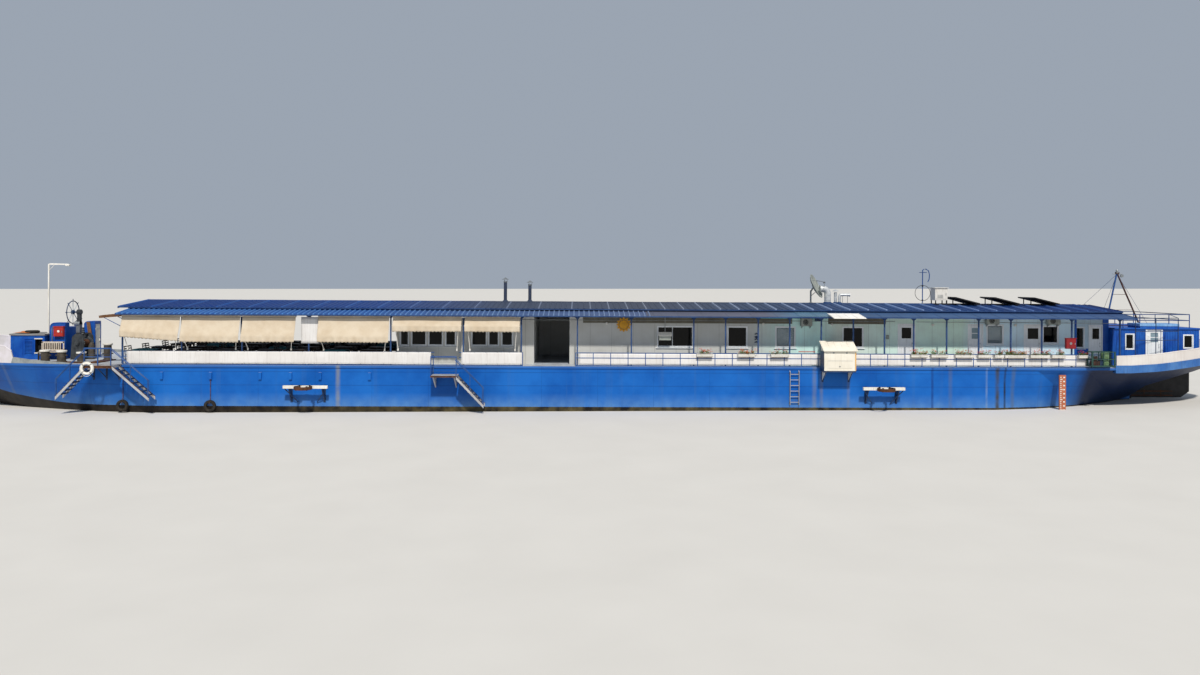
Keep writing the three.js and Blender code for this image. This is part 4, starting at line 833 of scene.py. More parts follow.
def awning_rows(x0, x1, fore_bar, aft_bar, reach):
    """Rows of points from the tube down to the hem."""
    columns = max(24, round((x1 - x0) / 0.035))
    out, top = AWNING_TOP
    rows = []
    for i in range(15):
        row = []
        for j in range(columns + 1):
            share = j / columns
            x = x0 + share * (x1 - x0)
            bar = fore_bar + share * (aft_bar - fore_bar)
            if i <= 8:
                down = i / 8
                hollow = 0.035 * math.sin(math.pi * down) * (1 + 0.35 * math.sin(7 * share + x0))
                y, z = out + reach * down - hollow, top + (bar - top) * down - 0.3 * hollow
            else:
                down = (i - 8) / 6
                wave = 0.022 * down * math.sin(2 * math.pi * x / 0.41 + 1.3 * math.sin(x))
                scallop = HEM_CUT * abs(math.sin(math.pi * x / SCALLOP)) if i == 14 else 0
                y, z = out + reach + wave, bar - (VALANCE - HEM_CUT) * down - scallop
            row.append((x, -y, z))
        rows.append(row)
    return rows


arms = Form()
for name, x0, x1, fore_bar, aft_bar, reach in AWNINGS:
    rows = awning_rows(x0, x1, fore_bar, aft_bar, reach)
    made = cloth_of(name, rows, canvas, 0.006)
    slope = math.hypot(AWNING_TOP[1] - (fore_bar + aft_bar) / 2, reach)
    bar_y = -(AWNING_TOP[0] + reach - 0.03)
    arms.tube([(x0 - 0.02, bar_y, fore_bar), (x1 + 0.02, bar_y, aft_bar)], 0.022, 8)
    for x, bar, lean in ((x0 + 0.14, fore_bar, 0.12), (x1 - 0.14, aft_bar, -0.12)):
        arms.tube([(x, bar_y, bar), (x + lean * 0.3, -4.47, bar - 0.25), (x + lean, -4.245, 3.86)], 0.02, 8)
        arms.block((x + lean - 0.035, x + lean + 0.035), (-4.275, -4.21), (3.78, 3.90))
piece("awning_arms", arms, [white_enamel], edge=0.003)

TUBE_Y, TUBE_Z = -4.30, 5.59
tubes = Form()
for x0, x1 in ((-24.68, -15.56), (-14.36, -10.61), (-10.42, -3.67)):
    tubes.tube([(x0 - 0.03, TUBE_Y, TUBE_Z), (x1 + 0.03, TUBE_Y, TUBE_Z)], 0.038, 12)
for _, x0, x1, *_ in AWNINGS:
    tubes.tube([(x0, TUBE_Y, TUBE_Z), (x1, TUBE_Y, TUBE_Z)], 0.05, 12, 1)
    for x in (x0 + 0.05, x1 - 0.05, (x0 + x1) / 2):
        hook = [(-4.236, 5.68), (-4.28, 5.665), (-4.355, 5.61), (-4.355, 5.57), (-4.27, 5.54), (-4.236, 5.60)]
        tubes.prism(hook, 0, (x - 0.012, x + 0.012))
piece("awning_tubes", tubes, [white_enamel, canvas], replaces=["awnings_terrace", "awnings_house"],
      edge=0.002)

# %% White lean-to over the kiosk
# The lean-to is painted in lit_white: painted light on its sunlit top.
slab = copy_of("awning_white")
(x0, x1), (y0, y1), (z0, z1) = span("awning_white")
slab.tube([(x0, y0 - 0.004, z0 + 0.015), (x1, y0 - 0.004, z0 + 0.015)], 0.019, 8)
for k in range(5):
    x = x0 + 0.03 + k * (x1 - x0 - 0.06) / 4
    batten = [(y0 + 0.01, z0 + 0.034), (y1, z1), (y1, z1 + 0.012), (y0 + 0.01, z0 + 0.046)]
    slab.prism(batten, 0, (x - 0.02, x + 0.02))
flatten(piece("kiosk_lean_to", slab, [lit_white], replaces=["awning_white"], edge=0.003))

# %% [markdown]
# ## Banners on the railing
# The railing carries long strips of coated banner cloth, laced along both edges to the rails. Their faces are
# left blank. Between the lacing points the cloth pulls into shallow scallops and small waves. A windbreak is
# laced to the far railing, and its near-black colour is painted shade under the terrace roof. A narrow white
# panel hangs in the terrace frame.


# %% Banner cloth
def banner(name, x0, x1, z0, z1, y, rests_on, lace=0.93, material=banner_pvc):
    columns = round((x1 - x0) / 0.11)
    rows = []
    for i in range(9):
        up = i / 8
        pull = 0.006 * {0: 1, 8: -1}.get(i, 0)
        row = []
        for j in range(columns + 1):
            x = x0 + (x1 - x0) * j / columns
            edge = pull * math.sin(math.pi * (x - x0) / lace) ** 2
            wave = 0.005 * math.sin(5.1 * x + 2.3 * up) * math.sin(math.pi * up)
            row.append((x, y - 0.003 - abs(wave), z0 + up * (z1 - z0) + edge))
        rows.append(row)
    made = cloth_of(name, rows, material, 0.004)


LACED_HEIGHT = (3.085, 3.725)
banner("banner_terrace", -24.41, -8.39, *LACED_HEIGHT, -4.3625, "railing_near_fore", 1.86)
banner("banner_gate", -6.77, -3.55, *LACED_HEIGHT, -4.3625, "railing_near_fore", 1.61)
banner("banner_house", -0.5, 27.0, 3.09, 3.69, -4.3225, "railing_near_aft")
# Near-black windbreak on the far railing: painted shade for the terrace behind the awnings.
banner("windbreak_far", -24.41, -8.39, *LACED_HEIGHT, 4.298, "railing_far", 1.86, shade_dark_pvc)
banner("hung_panel", -15.30, -14.38, 4.15, 5.56, -4.238, "terrace_frame", 0.46)
HEM_Y = -4.3685
hems = Form()
for x0, x1 in ((-24.41, -8.39), (-6.77, -3.55)):
    count = round((x1 - x0) / 0.62)
    for z in (3.098, 3.712):
        hems.block((x0, x1), (HEM_Y - 0.003, HEM_Y + 0.004), (z - 0.014, z + 0.014))
        for i in range(count + 1):
            x = x0 + 0.05 + i * (x1 - x0 - 0.1) / count
            hems.collar((x, 0, z), 1, 0.012, 0.02, HEM_Y - 0.006, HEM_Y - 0.002, 10, 1)
piece("banner_hems", hems, [banner_pvc, galvanised])

# %% [markdown]
# ## Deckhouse openings
# Every window is a white moulded frame with a sash, a sill and dark glass. Some have a mullion, some a
# blind that is drawn most of the way. The far wall has the same openings. The three house doors, the lobby
# door and the cabin door are panelled uPVC with a glazed top; their panes, beads and handles ride on them.

# %% Window parts
WALL_FACE = 3.23
LOBBY_FACE = -2.2
FORE_SPANS = ((-10.25, -9.80), (-9.64, -8.85), (-8.71, -7.95), (-7.79, -7.24), (-6.37, -5.56), (-5.45, -4.90),
              (-4.74, -4.14))
WINDOWS = [(x0, x1, 4.01, 5.10) for x0, x1 in FORE_SPANS] + [
    (3.80, 5.73, 3.99, 5.09), (7.66, 8.71, 3.99, 5.09), (10.31, 11.36, 3.99, 5.09),
    (14.02, 15.13, 4.00, 5.10), (22.04, 22.93, 4.20, 5.25), (25.17, 26.01, 4.27, 5.21)]
HALVED = (14.02, 3.80)
BLINDED = {10.31: 0.97, 22.04: 0.78, -9.64: 0.3}


def frame_round(form, opening, y, wide, paint=0):
    """Four bars round an opening in a wall, with their faces at both Y."""
    x0, x1, z0, z1 = opening
    form.blocks((x0, x1, *y, z1 - wide, z1, paint), (x0, x1, *y, z0, z0 + wide, paint),
                (x0, x0 + wide, *y, z0 + wide, z1 - wide, paint),
                (x1 - wide, x1, *y, z0 + wide, z1 - wide, paint))


def grown(opening, by):
    x0, x1, z0, z1 = opening
    return x0 - by, x1 + by, z0 - by, z1 + by


def window(frames, panes, opening, face, out, halved=False, sill=True, glass=0):
    """Casing, sash and glass in an opening. face is the wall's Y and out the direction out of the house."""
    x0, x1, z0, z1 = opening
    frame_round(frames, grown(opening, 0.035), (face - out * 0.05, face + out * 0.022), 0.06)
    inner = grown(opening, -0.015)
    frame_round(frames, inner, (face - out * 0.052, face - out * 0.002), 0.03)
    if halved:
        middle = (x0 + x1) / 2 if x1 - x0 < 1.5 else x0 + (x1 - x0) * 0.42
        frames.block((middle - 0.02, middle + 0.02), (face - out * 0.05, face - out * 0.001), (z0, z1))
    panes.block(inner[:2], (face - out * 0.034, face - out * 0.028), inner[2:], glass)
    if sill:
        back, nose = face - out * 0.01, face + out * 0.06
        outline = [(back, z0 - 0.055), (nose, z0 - 0.075), (nose, z0 - 0.095), (back, z0 - 0.095)]
        frames.prism(outline, 0, (x0 - 0.1, x1 + 0.1))


# %% Windows and blinds
coat(wall_panels, "wall_near_fore", "wall_near_mid", "wall_near_aft", "wall_far_fore", "wall_far_aft",
     "wall_end_fore", "wall_passage", "wall_lobby")
frames, panes = Form(), Form()
for side in (near, far):
    for opening in WINDOWS:
        glass = int(side == near and BLINDED.get(opening[0], 0) > 0.5)
        window(frames, panes, opening, side * WALL_FACE, side, opening[0] in HALVED, glass=glass)
window(frames, panes, (27.35, 28.05, 3.95, 5.10), LOBBY_FACE, near)
piece("house_window_frames", frames, [window_upvc], edge=0.004)
piece("house_window_panes", panes, [dark_glass, clear_glass])

for x0, x1, z0, z1 in [opening for opening in WINDOWS if opening[0] in BLINDED]:
    low = z1 - BLINDED[x0] * (z1 - z0)
    across = x1 - x0 - 0.16
    rows = [[(x0 + 0.08 + across * j / 12, -WALL_FACE + 0.066 + 0.003 * math.sin(i + j), z)
             for j in range(13)] for i, z in enumerate((z1 - 0.09, (z1 + low) / 2, low))]
    made = cloth_of(f"blind_{round(abs(x0) * 100)}", rows, curtain_cloth, 0.003)

CURTAIN_LOW, CURTAIN_TOP = 4.03, 5.06
PLEATS = 6
CURTAINS = [
    # X of the fixed edge, X of the free edge, how far the free edge is tied in near the foot
    (-9.6, -9.15, 0.3), (-8.0, -8.3, 0.4), (-7.75, -7.3, 0.1), (-6.33, -6.05, 0.5), (-5.4, -5.2, 0.2),
    (14.1, 14.4, 0.3),
]
for number, (x0, x1, tied) in enumerate(CURTAINS, 1):
    rows = []
    for i in range(11):
        down = i / 10
        pull = tied * math.sin(math.pi * min(1, down * 1.1)) ** 2
        row = []
        for j in range(PLEATS * 6 + 1):
            share = j / (PLEATS * 6)
            row.append((x0 + (x1 - x0) * share * (1 - pull),
                        -WALL_FACE + 0.12 + 0.022 * math.sin(2 * math.pi * PLEATS * share),
                        CURTAIN_TOP + (CURTAIN_LOW - CURTAIN_TOP) * down))
        rows.append(row)
    made = cloth_of(f"curtain_{number}", rows, curtain_cloth, 0.003, 70)
    across = sum((Vector(a) - Vector(b)).length for a, b in zip(rows[0], rows[0][1:])) * SCALE

# %% Door casings and panes
DOOR_SILL = 3.12
HOUSE_DOORS = [("house_door_1", 17.13, 17.97), ("house_door_2", 21.03, 21.76), ("house_door_3", 24.16, 25.06)]
casings = Form()


def casing(x0, x1, head, face, wide=0.07):
    y = (face - 0.024, face + 0.03)
    casings.blocks((x0 - wide, x0 - 0.001, *y, DOOR_SILL, head + wide),
                   (x1 + 0.001, x1 + wide, *y, DOOR_SILL, head + wide),
                   (x0 - 0.001, x1 + 0.001, *y, head + 0.001, head + wide),
                   (x0 - 0.05, x1 + 0.05, face - 0.05, face + 0.01, DOOR_SILL - 0.07, DOOR_SILL - 0.02, 1))


def door_trim(body, x0, x1, sill, head, face, pane_tall, crossed=False, glass=dark_glass):
    """Glass, beads, raised lower panel and handle on one door leaf."""
    trim = Form()
    a, b = x0 + 0.142, x1 - 0.142
    top = head - 0.13
    low = top - pane_tall
    trim.block((a - 0.006, b + 0.006), (face + 0.018, face + 0.024), (low - 0.006, top + 0.006), 1)
    for sign in (-1, 1):
        y = (face + 0.0225 + sign * 0.0235, face + 0.0225 + sign * 0.034)
        frame_round(trim, (a - 0.03, b + 0.03, low - 0.03, top + 0.03), y, 0.042)
    if crossed:
        trim.block((a, b), (face + 0.008, face + 0.034), ((low + top) / 2 - 0.02, (low + top) / 2 + 0.02))
    frame_round(trim, (a - 0.03, b + 0.03, sill + 0.15, low - 0.09), (face - 0.009, face + 0.002), 0.03)
    grip = sill + (head - sill) * 0.45
    trim.block((x1 - 0.125, x1 - 0.085), (face - 0.012, face + 0.001), (grip - 0.06, grip + 0.19), 2)
    piece(f"{body}_trim", trim, [window_upvc, glass, galvanised], body=body, edge=0.002)


coat(window_upvc, "house_door_1", "house_door_2", "house_door_3", "lobby_door", "cabin_door")
for body, x0, x1 in HOUSE_DOORS:
    casing(x0, x1, 5.23, -WALL_FACE)
    crossed = body == "house_door_2"
    door_trim(body, x0, x1, DOOR_SILL, 5.23, -WALL_FACE, 0.62, crossed, hazy_glass if crossed else dark_glass)
casing(28.38, 29.07, 5.18, LOBBY_FACE)
door_trim("lobby_door", 28.38, 29.07, DOOR_SILL, 5.18, LOBBY_FACE, 0.62)
piece("door_casings", casings, [window_upvc, galvanised], edge=0.003)

# %% [markdown]
# ## Things on the house wall
# Outdoor cooling units hang under the eave, with a ribbed case and a guard over the fan. A grey hood, a blank
# round sign, a coiled hose and an electric box hang at eye height, and conduits run under the eave. Dark
# olive boards along the wall's head are painted shade under the eave. A red fire box hangs outside on the
# rail line.

# %% Wall fittings
CASE_FACE, CASE_BACK = -3.52, -3.26
COOLERS = ((11.64, 12.25, 5.16), (21.9, 22.6, 5.30), (25.3, 26.0, 5.30))
coolers = Form()
for x0, x1, z0 in COOLERS:
    z1 = z0 + 0.42
    coolers.blocks((x0, x1, CASE_FACE, CASE_BACK, z0, z1),
                   (x0 + 0.02, x1 - 0.02, CASE_FACE - 0.006, CASE_FACE, z0 + 0.02, z1 - 0.02))
    fan = (x0 + (x1 - x0) * 0.4, CASE_FACE, (z0 + z1) / 2)
    coolers.disc(fan, 1, 0.16, -0.008, -0.004, 20, 1)
    for k in range(5):
        r = 0.03 + k * 0.03
        coolers.collar(fan, 1, r, r + 0.007, -0.018, -0.012, 20)
    for k in range(7):
        z = z0 + 0.07 + k * 0.045
        coolers.block((x1 - 0.2, x1 - 0.04), (CASE_FACE - 0.014, CASE_FACE), (z, z + 0.02))
    for x in (x0 + 0.08, x1 - 0.08):
        bracket = [(-3.231, z0 - 0.14), (-3.231, z0), (CASE_FACE, z0), (CASE_FACE, z0 - 0.025)]
        coolers.prism(bracket, 0, (x - 0.015, x + 0.015), 2)
piece("cooling_units", coolers, [glass_fibre, black_paint, galvanised], edge=0.004)

fittings = Form()
fittings.blocks((3.86, 4.50, -3.62, -3.30, 4.36, 4.58), (12.45, 12.80, -3.50, -3.26, 5.42, 5.66, 3),
                (16.42, 16.56, -3.30, -3.231, 4.45, 4.68))
fittings.prism([(-3.66, 4.58), (-3.27, 4.58), (-3.27, 4.62), (-3.40, 4.80), (-3.52, 4.80), (-3.66, 4.62)], 0,
               (3.82, 4.54), 2)
fittings.tube([(4.18, -3.46, 4.80), (4.18, -3.46, 5.60)], 0.02, 6, 1)
fittings.tube([(-10.3, -3.25, 5.42), (16.9, -3.25, 5.42)], 0.014, 6, 1)
fittings.tube([(18.1, -3.25, 5.40), (29.3, -3.25, 5.38)], 0.014, 6, 1)
for x in (1.0, 9.6, 13.4, 19.0, 23.6):
    lamp = [(0.0, -3.34), (0.05, -3.33), (0.075, -3.29), (0.06, -3.231), (0, -3.231)]
    fittings.turned(lamp, (x, 0, 5.25), 1, 14, 2)
piece("wall_fittings", fittings, [glass_fibre, galvanised, white_enamel, dark_rail], edge=0.004)
# Dark olive boards along the wall's head: painted shade under the eave.
eave_shade_board = Form()
eave_shade_board.blocks((-0.3, 11.2, -3.243, -3.232, 5.27, 5.74), (13.2, 16.4, -3.243, -3.232, 5.27, 5.74),
                  (11.3, 12.2, -4.35, -4.325, 3.80, 3.84, 1))
piece("wall_head_board", eave_shade_board, [eave_shade_paint, red_enamel])

SIGN_X, SIGN_Z = 1.93, 5.18
sign = Form()
sign.turned([(0, -3.262), (0.31, -3.262), (0.33, -3.255), (0.33, -3.238), (0, -3.238)],
            (SIGN_X, 0, SIGN_Z), 1, 28)
sign.collar((SIGN_X, 0, SIGN_Z), 1, 0.24, 0.27, -3.268, -3.260, 28, 1)
for x, z in circle(12, 0.35, 0, SIGN_X, SIGN_Z):
    sign.disc((x, 0, z), 1, 0.05, -3.262, -3.242, 10)
piece("round_sign", sign, [yellow_sign, tan_timber])

fire_box = Form()
fire_box.blocks((25.84, 26.38, -4.40, -4.24, 4.04, 4.60), (25.86, 26.36, -4.415, -4.40, 4.06, 4.58),
                (25.81, 26.41, -4.43, -4.237, 4.60, 4.625), (26.30, 26.33, -4.44, -4.41, 4.26, 4.36, 1))
fire_box.disc((26.09, 0, 4.33), 1, 0.07, -4.422, -4.414, 16, 1)
piece("fire_box", fire_box, [fire_paint, galvanised], edge=0.006)

hose = Form()
hose.disc((9.23, 0, 4.52), 1, 0.06, -3.30, -3.232, 12)
for z in (4.24, 4.39, 4.54, 4.69):
    hose.tube([(9.14, -3.27, z), (9.23, -3.32, z + 0.05), (9.32, -3.27, z)], 0.028, 7)
piece("coiled_hose", hose, [dark_rail])

# %% [markdown]
# ## Planters
# Window boxes hang outside the aft railing, full of geraniums. Leaves are small folded diamonds and blossoms
# are loose clusters of petals, scattered with a fixed seed. Growth is dense in some boxes and thin in others.

# %% Planters and flowers
BOX_TOP = 3.70
PLANTERS = [
    # X from, X to, plants, share of red among the blossoms
    (5.79, 6.65, 9, 0.9), (8.00, 8.91, 12, 0.3), (9.78, 10.75, 9, 0.5), (17.35, 18.25, 11, 0.5),
    (18.45, 19.35, 8, 0.6), (19.75, 20.75, 14, 0.3), (21.00, 21.70, 6, 0.8), (21.90, 22.38, 8, 0.9),
    (22.45, 23.62, 26, 0.12), (23.84, 24.88, 15, 0.9), (25.02, 25.76, 8, 0.3), (26.48, 26.95, 6, 0.9),
]


def diamond(form, place, size, rng, paint):
    turn = Matrix.Rotation(rng.uniform(0, 6.28), 3, "Z") @ Matrix.Rotation(rng.uniform(-0.9, 0.9), 3, "X")
    corners = [(-1, 0, 0), (0, -0.6, 0.25), (1, 0, 0), (0, 0.6, 0.25)]
    form.add([Vector(place) + turn @ (Vector(c) * size) for c in corners], [(0, 1, 2), (0, 2, 3)], paint)


rng = random.Random(7)
boxes, plants = Form(), Form()
z = BOX_TOP
for x0, x1, count, red in PLANTERS:
    boxes.prism([(-4.55, z), (-4.53, z - 0.15), (-4.39, z - 0.15), (-4.37, z)], 0, (x0, x1))
    boxes.blocks((x0 - 0.012, x1 + 0.012, -4.562, -4.54, z - 0.03, z + 0.004),
                 (x0 - 0.012, x1 + 0.012, -4.38, -4.358, z - 0.03, z + 0.004),
                 (x0 + 0.02, x1 - 0.02, -4.54, -4.38, z - 0.03, z - 0.012, 1),
                 (x0 + 0.01, x1 - 0.01, -4.525, -4.395, z - 0.172, z - 0.152, 1))
    for x in (x0 + 0.1, x1 - 0.1):
        boxes.tube([(x, -4.37, z), (x, -4.35, 3.745), (x, -4.29, 3.745), (x, -4.28, 3.68)], 0.008, 5, 2)
    for _ in range(count):
        root = (rng.uniform(x0 + 0.05, x1 - 0.05), rng.uniform(-4.50, -4.42), z)
        tall = rng.uniform(0.10, 0.30)
        for _ in range(20):
            reach = rng.uniform(0.3, 1.0)
            spot = (root[0] + rng.gauss(0, 0.09) * reach, root[1] + rng.gauss(0, 0.07) * reach - 0.03 * reach,
                    root[2] + tall * reach * rng.uniform(0.3, 1.0) - 0.12 * max(0, rng.random() - 0.75))
            diamond(plants, spot, rng.uniform(0.025, 0.05), rng, 0)
        for _ in range(rng.randint(1, 4)):
            head = (root[0] + rng.gauss(0, 0.09), root[1] + rng.gauss(0, 0.06) - 0.03,
                    root[2] + tall * rng.uniform(0.6, 1.1))
            paint = 1 if rng.random() < red else 2
            for _ in range(11):
                spot = [c + rng.gauss(0, 0.022) for c in head]
                diamond(plants, spot, rng.uniform(0.016, 0.026), rng, paint)
piece("planter_boxes", boxes, [white_enamel, rusty_plate, galvanised], edge=0.003)
piece("geraniums", plants, [leaf, blossom_red, blossom_orange], outward=False)

# %% [markdown]
# ## Kiosk
# A cream box on brackets outside the railing, with a hatch in its front, a sloped lid, corner trims and a
# yellow strip. The box keeps its form and gains the joints and hinges that a real one shows.

# %% Kiosk
coat(kiosk_enamel, "kiosk")
kiosk = Form()
frame_round(kiosk, (12.45, 14.14, 2.88, 3.93), (-5.236, -5.22), 0.07)
for x in (12.455, 14.12):
    for y in (-4.60, -4.85, -5.10):
        kiosk.block((x, x + 0.015), (y, y + 0.03), (2.9, 3.9))
kiosk.prism([(-5.335, 3.955), (-4.44, 4.405), (-4.44, 4.42), (-5.335, 3.972)], 0, (12.38, 14.21))
for i in range(6):
    x = 12.42 + i * 0.345
    kiosk.prism([(-5.33, 3.97), (-4.45, 4.415), (-4.45, 4.432), (-5.33, 3.988)], 0, (x, x + 0.025))
kiosk.blocks(
    # hatch and its split, lip of the lid, dark side panel as painted shade on the fore side, yellow strip,
    # two hinges, handle
    (12.66, 13.93, -5.232, -5.221, 3.02, 3.80), (12.64, 13.95, -5.240, -5.231, 3.405, 3.418, 1),
    (12.38, 14.21, -5.345, -5.31, 3.925, 3.975), (12.437, 12.447, -5.21, -4.48, 2.89, 3.90, 2),
    (14.10, 14.15, -5.246, -5.237, 2.90, 3.86, 3), (12.9, 12.99, -5.246, -5.23, 3.80, 3.87, 1),
    (13.6, 13.69, -5.246, -5.23, 3.80, 3.87, 1), (13.24, 13.32, -5.262, -5.232, 3.10, 3.14, 1))
piece("kiosk_trim", kiosk, [kiosk_enamel, galvanised, dark_rail, yellow_sign], edge=0.004)
bearers = Form()
bearers.block((12.44, 14.15), (-5.225, -4.475), (2.80, 2.878))
for x in (12.59, 14.0):
    bearers.tube([(x, -5.11, 2.82), (x, -4.41, 2.26)], 0.03, 6)
    bearers.block((x - 0.05, x + 0.05), (-4.415, -4.40), (2.2, 2.86))
piece("kiosk_bearers", bearers, [dark_rail], edge=0.004)

# %% [markdown]
# ## Platforms, stairs and ladder
# Checker plate floors on angle frames. The stringers of the stairs are pale channel with a rusty edge, the
# treads are dark grating, and thin rods brace the stairs to the hull.

# %% Boarding platforms
coat(galvanised, "ladder")
FORE_Y, MID_Y = -5.42, -5.33
STAIRS = [
    # top X and Z, foot X and Z
    (-26.08, 3.02, -27.58, 1.43), (-24.68, 3.02, -22.78, 1.37), (-6.92, 2.55, -5.48, 1.05),
]


def over_steps(x, y, z):
    """1 for the rails over a platform and its stairs, 0 for what is walked on."""
    line = 3.04 if x < -15 else 2.56
    for top_x, top_z, foot_x, foot_z in STAIRS:
        if min(top_x, foot_x) < x < max(top_x, foot_x):
            line = top_z + (foot_z - top_z) * (x - top_x) / (foot_x - top_x)
    return int(z > line + 0.10)


for name in ("platform_fore", "platform_mid"):
    painted(name, [stair_paint, rail_enamel], over_steps)
gear, rods = Form(), Form()
for top_x, top_z, foot_x, foot_z in STAIRS:
    along_x, along_z = foot_x - top_x, foot_z - top_z
    for k in range(1, 8):
        x, z = top_x + along_x * k / 8, top_z + along_z * k / 8 - 0.09
        for j in range(6):
            y = -5.33 + j * 0.128
            gear.block((x - 0.113, x + 0.113), (y, y + 0.06), (z + 0.014, z + 0.026))
        gear.blocks((x - 0.118, x - 0.098, -5.345, -4.635, z - 0.03, z + 0.03),
                    (x + 0.098, x + 0.118, -5.345, -4.635, z - 0.03, z + 0.03))
    hand = (foot_x, -5.34, foot_z + 0.90)
    rods.tube([(top_x, -5.34, top_z + 0.88), hand], 0.018, 8)
    rods.tube([hand, (foot_x, -5.34, foot_z + 0.02)], 0.016, 8)
    rods.tube([(foot_x - along_x * 0.05, -4.64, foot_z - 0.05),
               (foot_x - along_x * 0.30, -4.41, foot_z + 0.42)], 0.014, 6)
    for y in ((-5.368, -5.312), (-4.668, -4.618)):
        outline = [(top_x, top_z - 0.012), (foot_x, foot_z - 0.012), (foot_x, foot_z + 0.004),
                   (top_x, top_z + 0.004)]
        rods.prism(outline, 1, y, 1)
piece("stair_treads", gear, [dark_rail], edge=0.003)
piece("stair_rods", rods, [rail_enamel, rusty_plate])

STUD_PITCH = 0.12
FLOORS = (
    # both X, both Y, top, depth of the front skirt
    (-26.1, -24.66, -5.45, -4.27, 3.041, 0.135), (-8.26, -6.90, -5.35, -4.42, 2.561, 0.085),
)
plates, rails = Form(), Form()
for x0, x1, y0, y1, z, skirt in FLOORS:
    plates.block((x0, x1), (y0, y1), (z - 0.004, z + 0.006))
    for i in range(int((x1 - x0) / STUD_PITCH)):
        for j in range(int((y1 - y0) / STUD_PITCH)):
            x, y = x0 + 0.06 + i * STUD_PITCH, y0 + 0.06 + j * STUD_PITCH
            lean = 0.03 if (i + j) % 2 else -0.03
            plates.tube([(x - 0.03, y - lean, z + 0.006), (x + 0.03, y + lean, z + 0.006)], 0.006, 4)
    plates.block((x0 - 0.005, x1 + 0.005), (y0 - 0.008, y0), (z - skirt, z + 0.006), 1)
for x in (-26.06, -25.4, -24.74):
    plates.tube([(x, -5.40, 2.92), (x, -4.46, 2.30)], 0.03, 6, 2)
    plates.block((x - 0.045, x + 0.045), (-4.47, -4.44), (2.2, 2.9), 2)
for x0, x1, y, z in ((-26.08, -24.68, FORE_Y, 3.30), (-26.08, -24.68, FORE_Y, 3.62),
                     (-8.24, -6.92, MID_Y, 2.80), (-8.24, -6.92, MID_Y, 3.28)):
    plates.tube([(x0, y, z), (x1, y, z)], 0.008, 6, 2)
piece("platform_plates", plates, [stair_paint, rusty_plate, dark_rail], edge=0.002)
rails.tube([(-26.08, FORE_Y, 3.94), (-24.68, FORE_Y, 3.94)], 0.027, 10)
rails.tube([(-8.26, MID_Y, 3.56), (-6.90, MID_Y, 3.56)], 0.027, 10)
rails.tube([(-8.24, MID_Y, 3.56), (-8.24, -4.52, 3.56)], 0.027, 10)
for y, base, places in ((FORE_Y, 3.04, (-26.06, -25.38, -24.70)), (MID_Y, 2.56, (-8.24, -6.92))):
    for x in places:
        rails.tube([(x, y, base), (x, y, base + 0.9)], 0.024, 8)
piece("platform_rails", rails, [rail_enamel])

# %% Ladder
LADDER_Y = -4.49
ladder = Form()
for x in (10.82, 11.30):
    ladder.tube([(x, LADDER_Y, 0.97), (x, LADDER_Y, 2.74), (x, -4.40, 2.80)], 0.022, 8)
    for z in (1.05, 2.66):
        ladder.block((x - 0.03, x + 0.03), (-4.43, -4.401), (z - 0.05, z + 0.05), 1)
for k in range(6):
    z = 1.12 + k * 0.3
    ladder.tube([(10.82, LADDER_Y, z), (11.30, LADDER_Y, z)], 0.019, 8)
piece("ladder_tubes", ladder, [stair_paint, rusty_plate])

# %% [markdown]
# ## Pile guides, fenders and lifebuoy
# Each pile guide is a white channel with a round collar on blue triangular brackets; the pile itself isn't
# part of the barge. Tyres hang as fenders: a tread with blocks, shoulders and an open bead, on a strap. The
# lifebuoy has four bands and a grab line.

# %% Pile guides
PILE_Y = -5.30
GUIDES = (("fore", -16.01, -13.71, -14.87), ("aft", 14.64, 16.85, 15.74))
for word, x0, x1, ring_x in GUIDES:
    painted(f"pile_guide_{word}", [white_enamel, rusty_plate, dark_rail],
            lambda x, y, z: 1 if math.hypot(x - ring_x, y - PILE_Y) < 0.5
            else 0 if y < -4.86 and z > 1.8 else 2)
    guide = Form()
    guide.blocks((x0 - 0.01, x1 + 0.01, -5.002, -4.990, 1.83, 1.985),
                 (x0 - 0.01, x1 + 0.01, -4.874, -4.862, 1.83, 1.985),
                 (x0 - 0.01, x1 + 0.01, -4.99, -4.87, 1.957, 1.968))
    guide.turned([(0.452, 1.82), (0.466, 1.83), (0.466, 1.98), (0.452, 1.99)], (ring_x, PILE_Y, 0), 2, 32, 1)
    guide.collar((ring_x, PILE_Y, 0), 2, 0.40, 0.452, 1.955, 1.972, 32, 2)
    for x, y in circle(4, 0.385, math.pi / 4, ring_x, PILE_Y):
        guide.block((x - 0.04, x + 0.04), (y - 0.04, y + 0.04), (1.80, 2.02), 2)
    for x in (x0 + 0.28, x1 - 0.28):
        guide.tube([(x, -4.93, 1.86), (x, -4.43, 1.14)], 0.035, 6, 3)
        guide.blocks((x - 0.06, x + 0.06, -4.43, -4.401, 1.05, 1.97, 3),
                     (x - 0.032, x + 0.032, -4.9, -4.42, 1.855, 1.955, 3))
    for outer, inner in ((x0 + 0.05, ring_x - 0.5), (x1 - 0.05, ring_x + 0.5)):
        guide.tube([(outer, -4.93, 1.84), (inner, -4.45, 1.06)], 0.028, 6, 3)
    piece(f"pile_guide_{word}_trim", guide, [white_enamel, rusty_plate, rubber, dark_rail], edge=0.004)

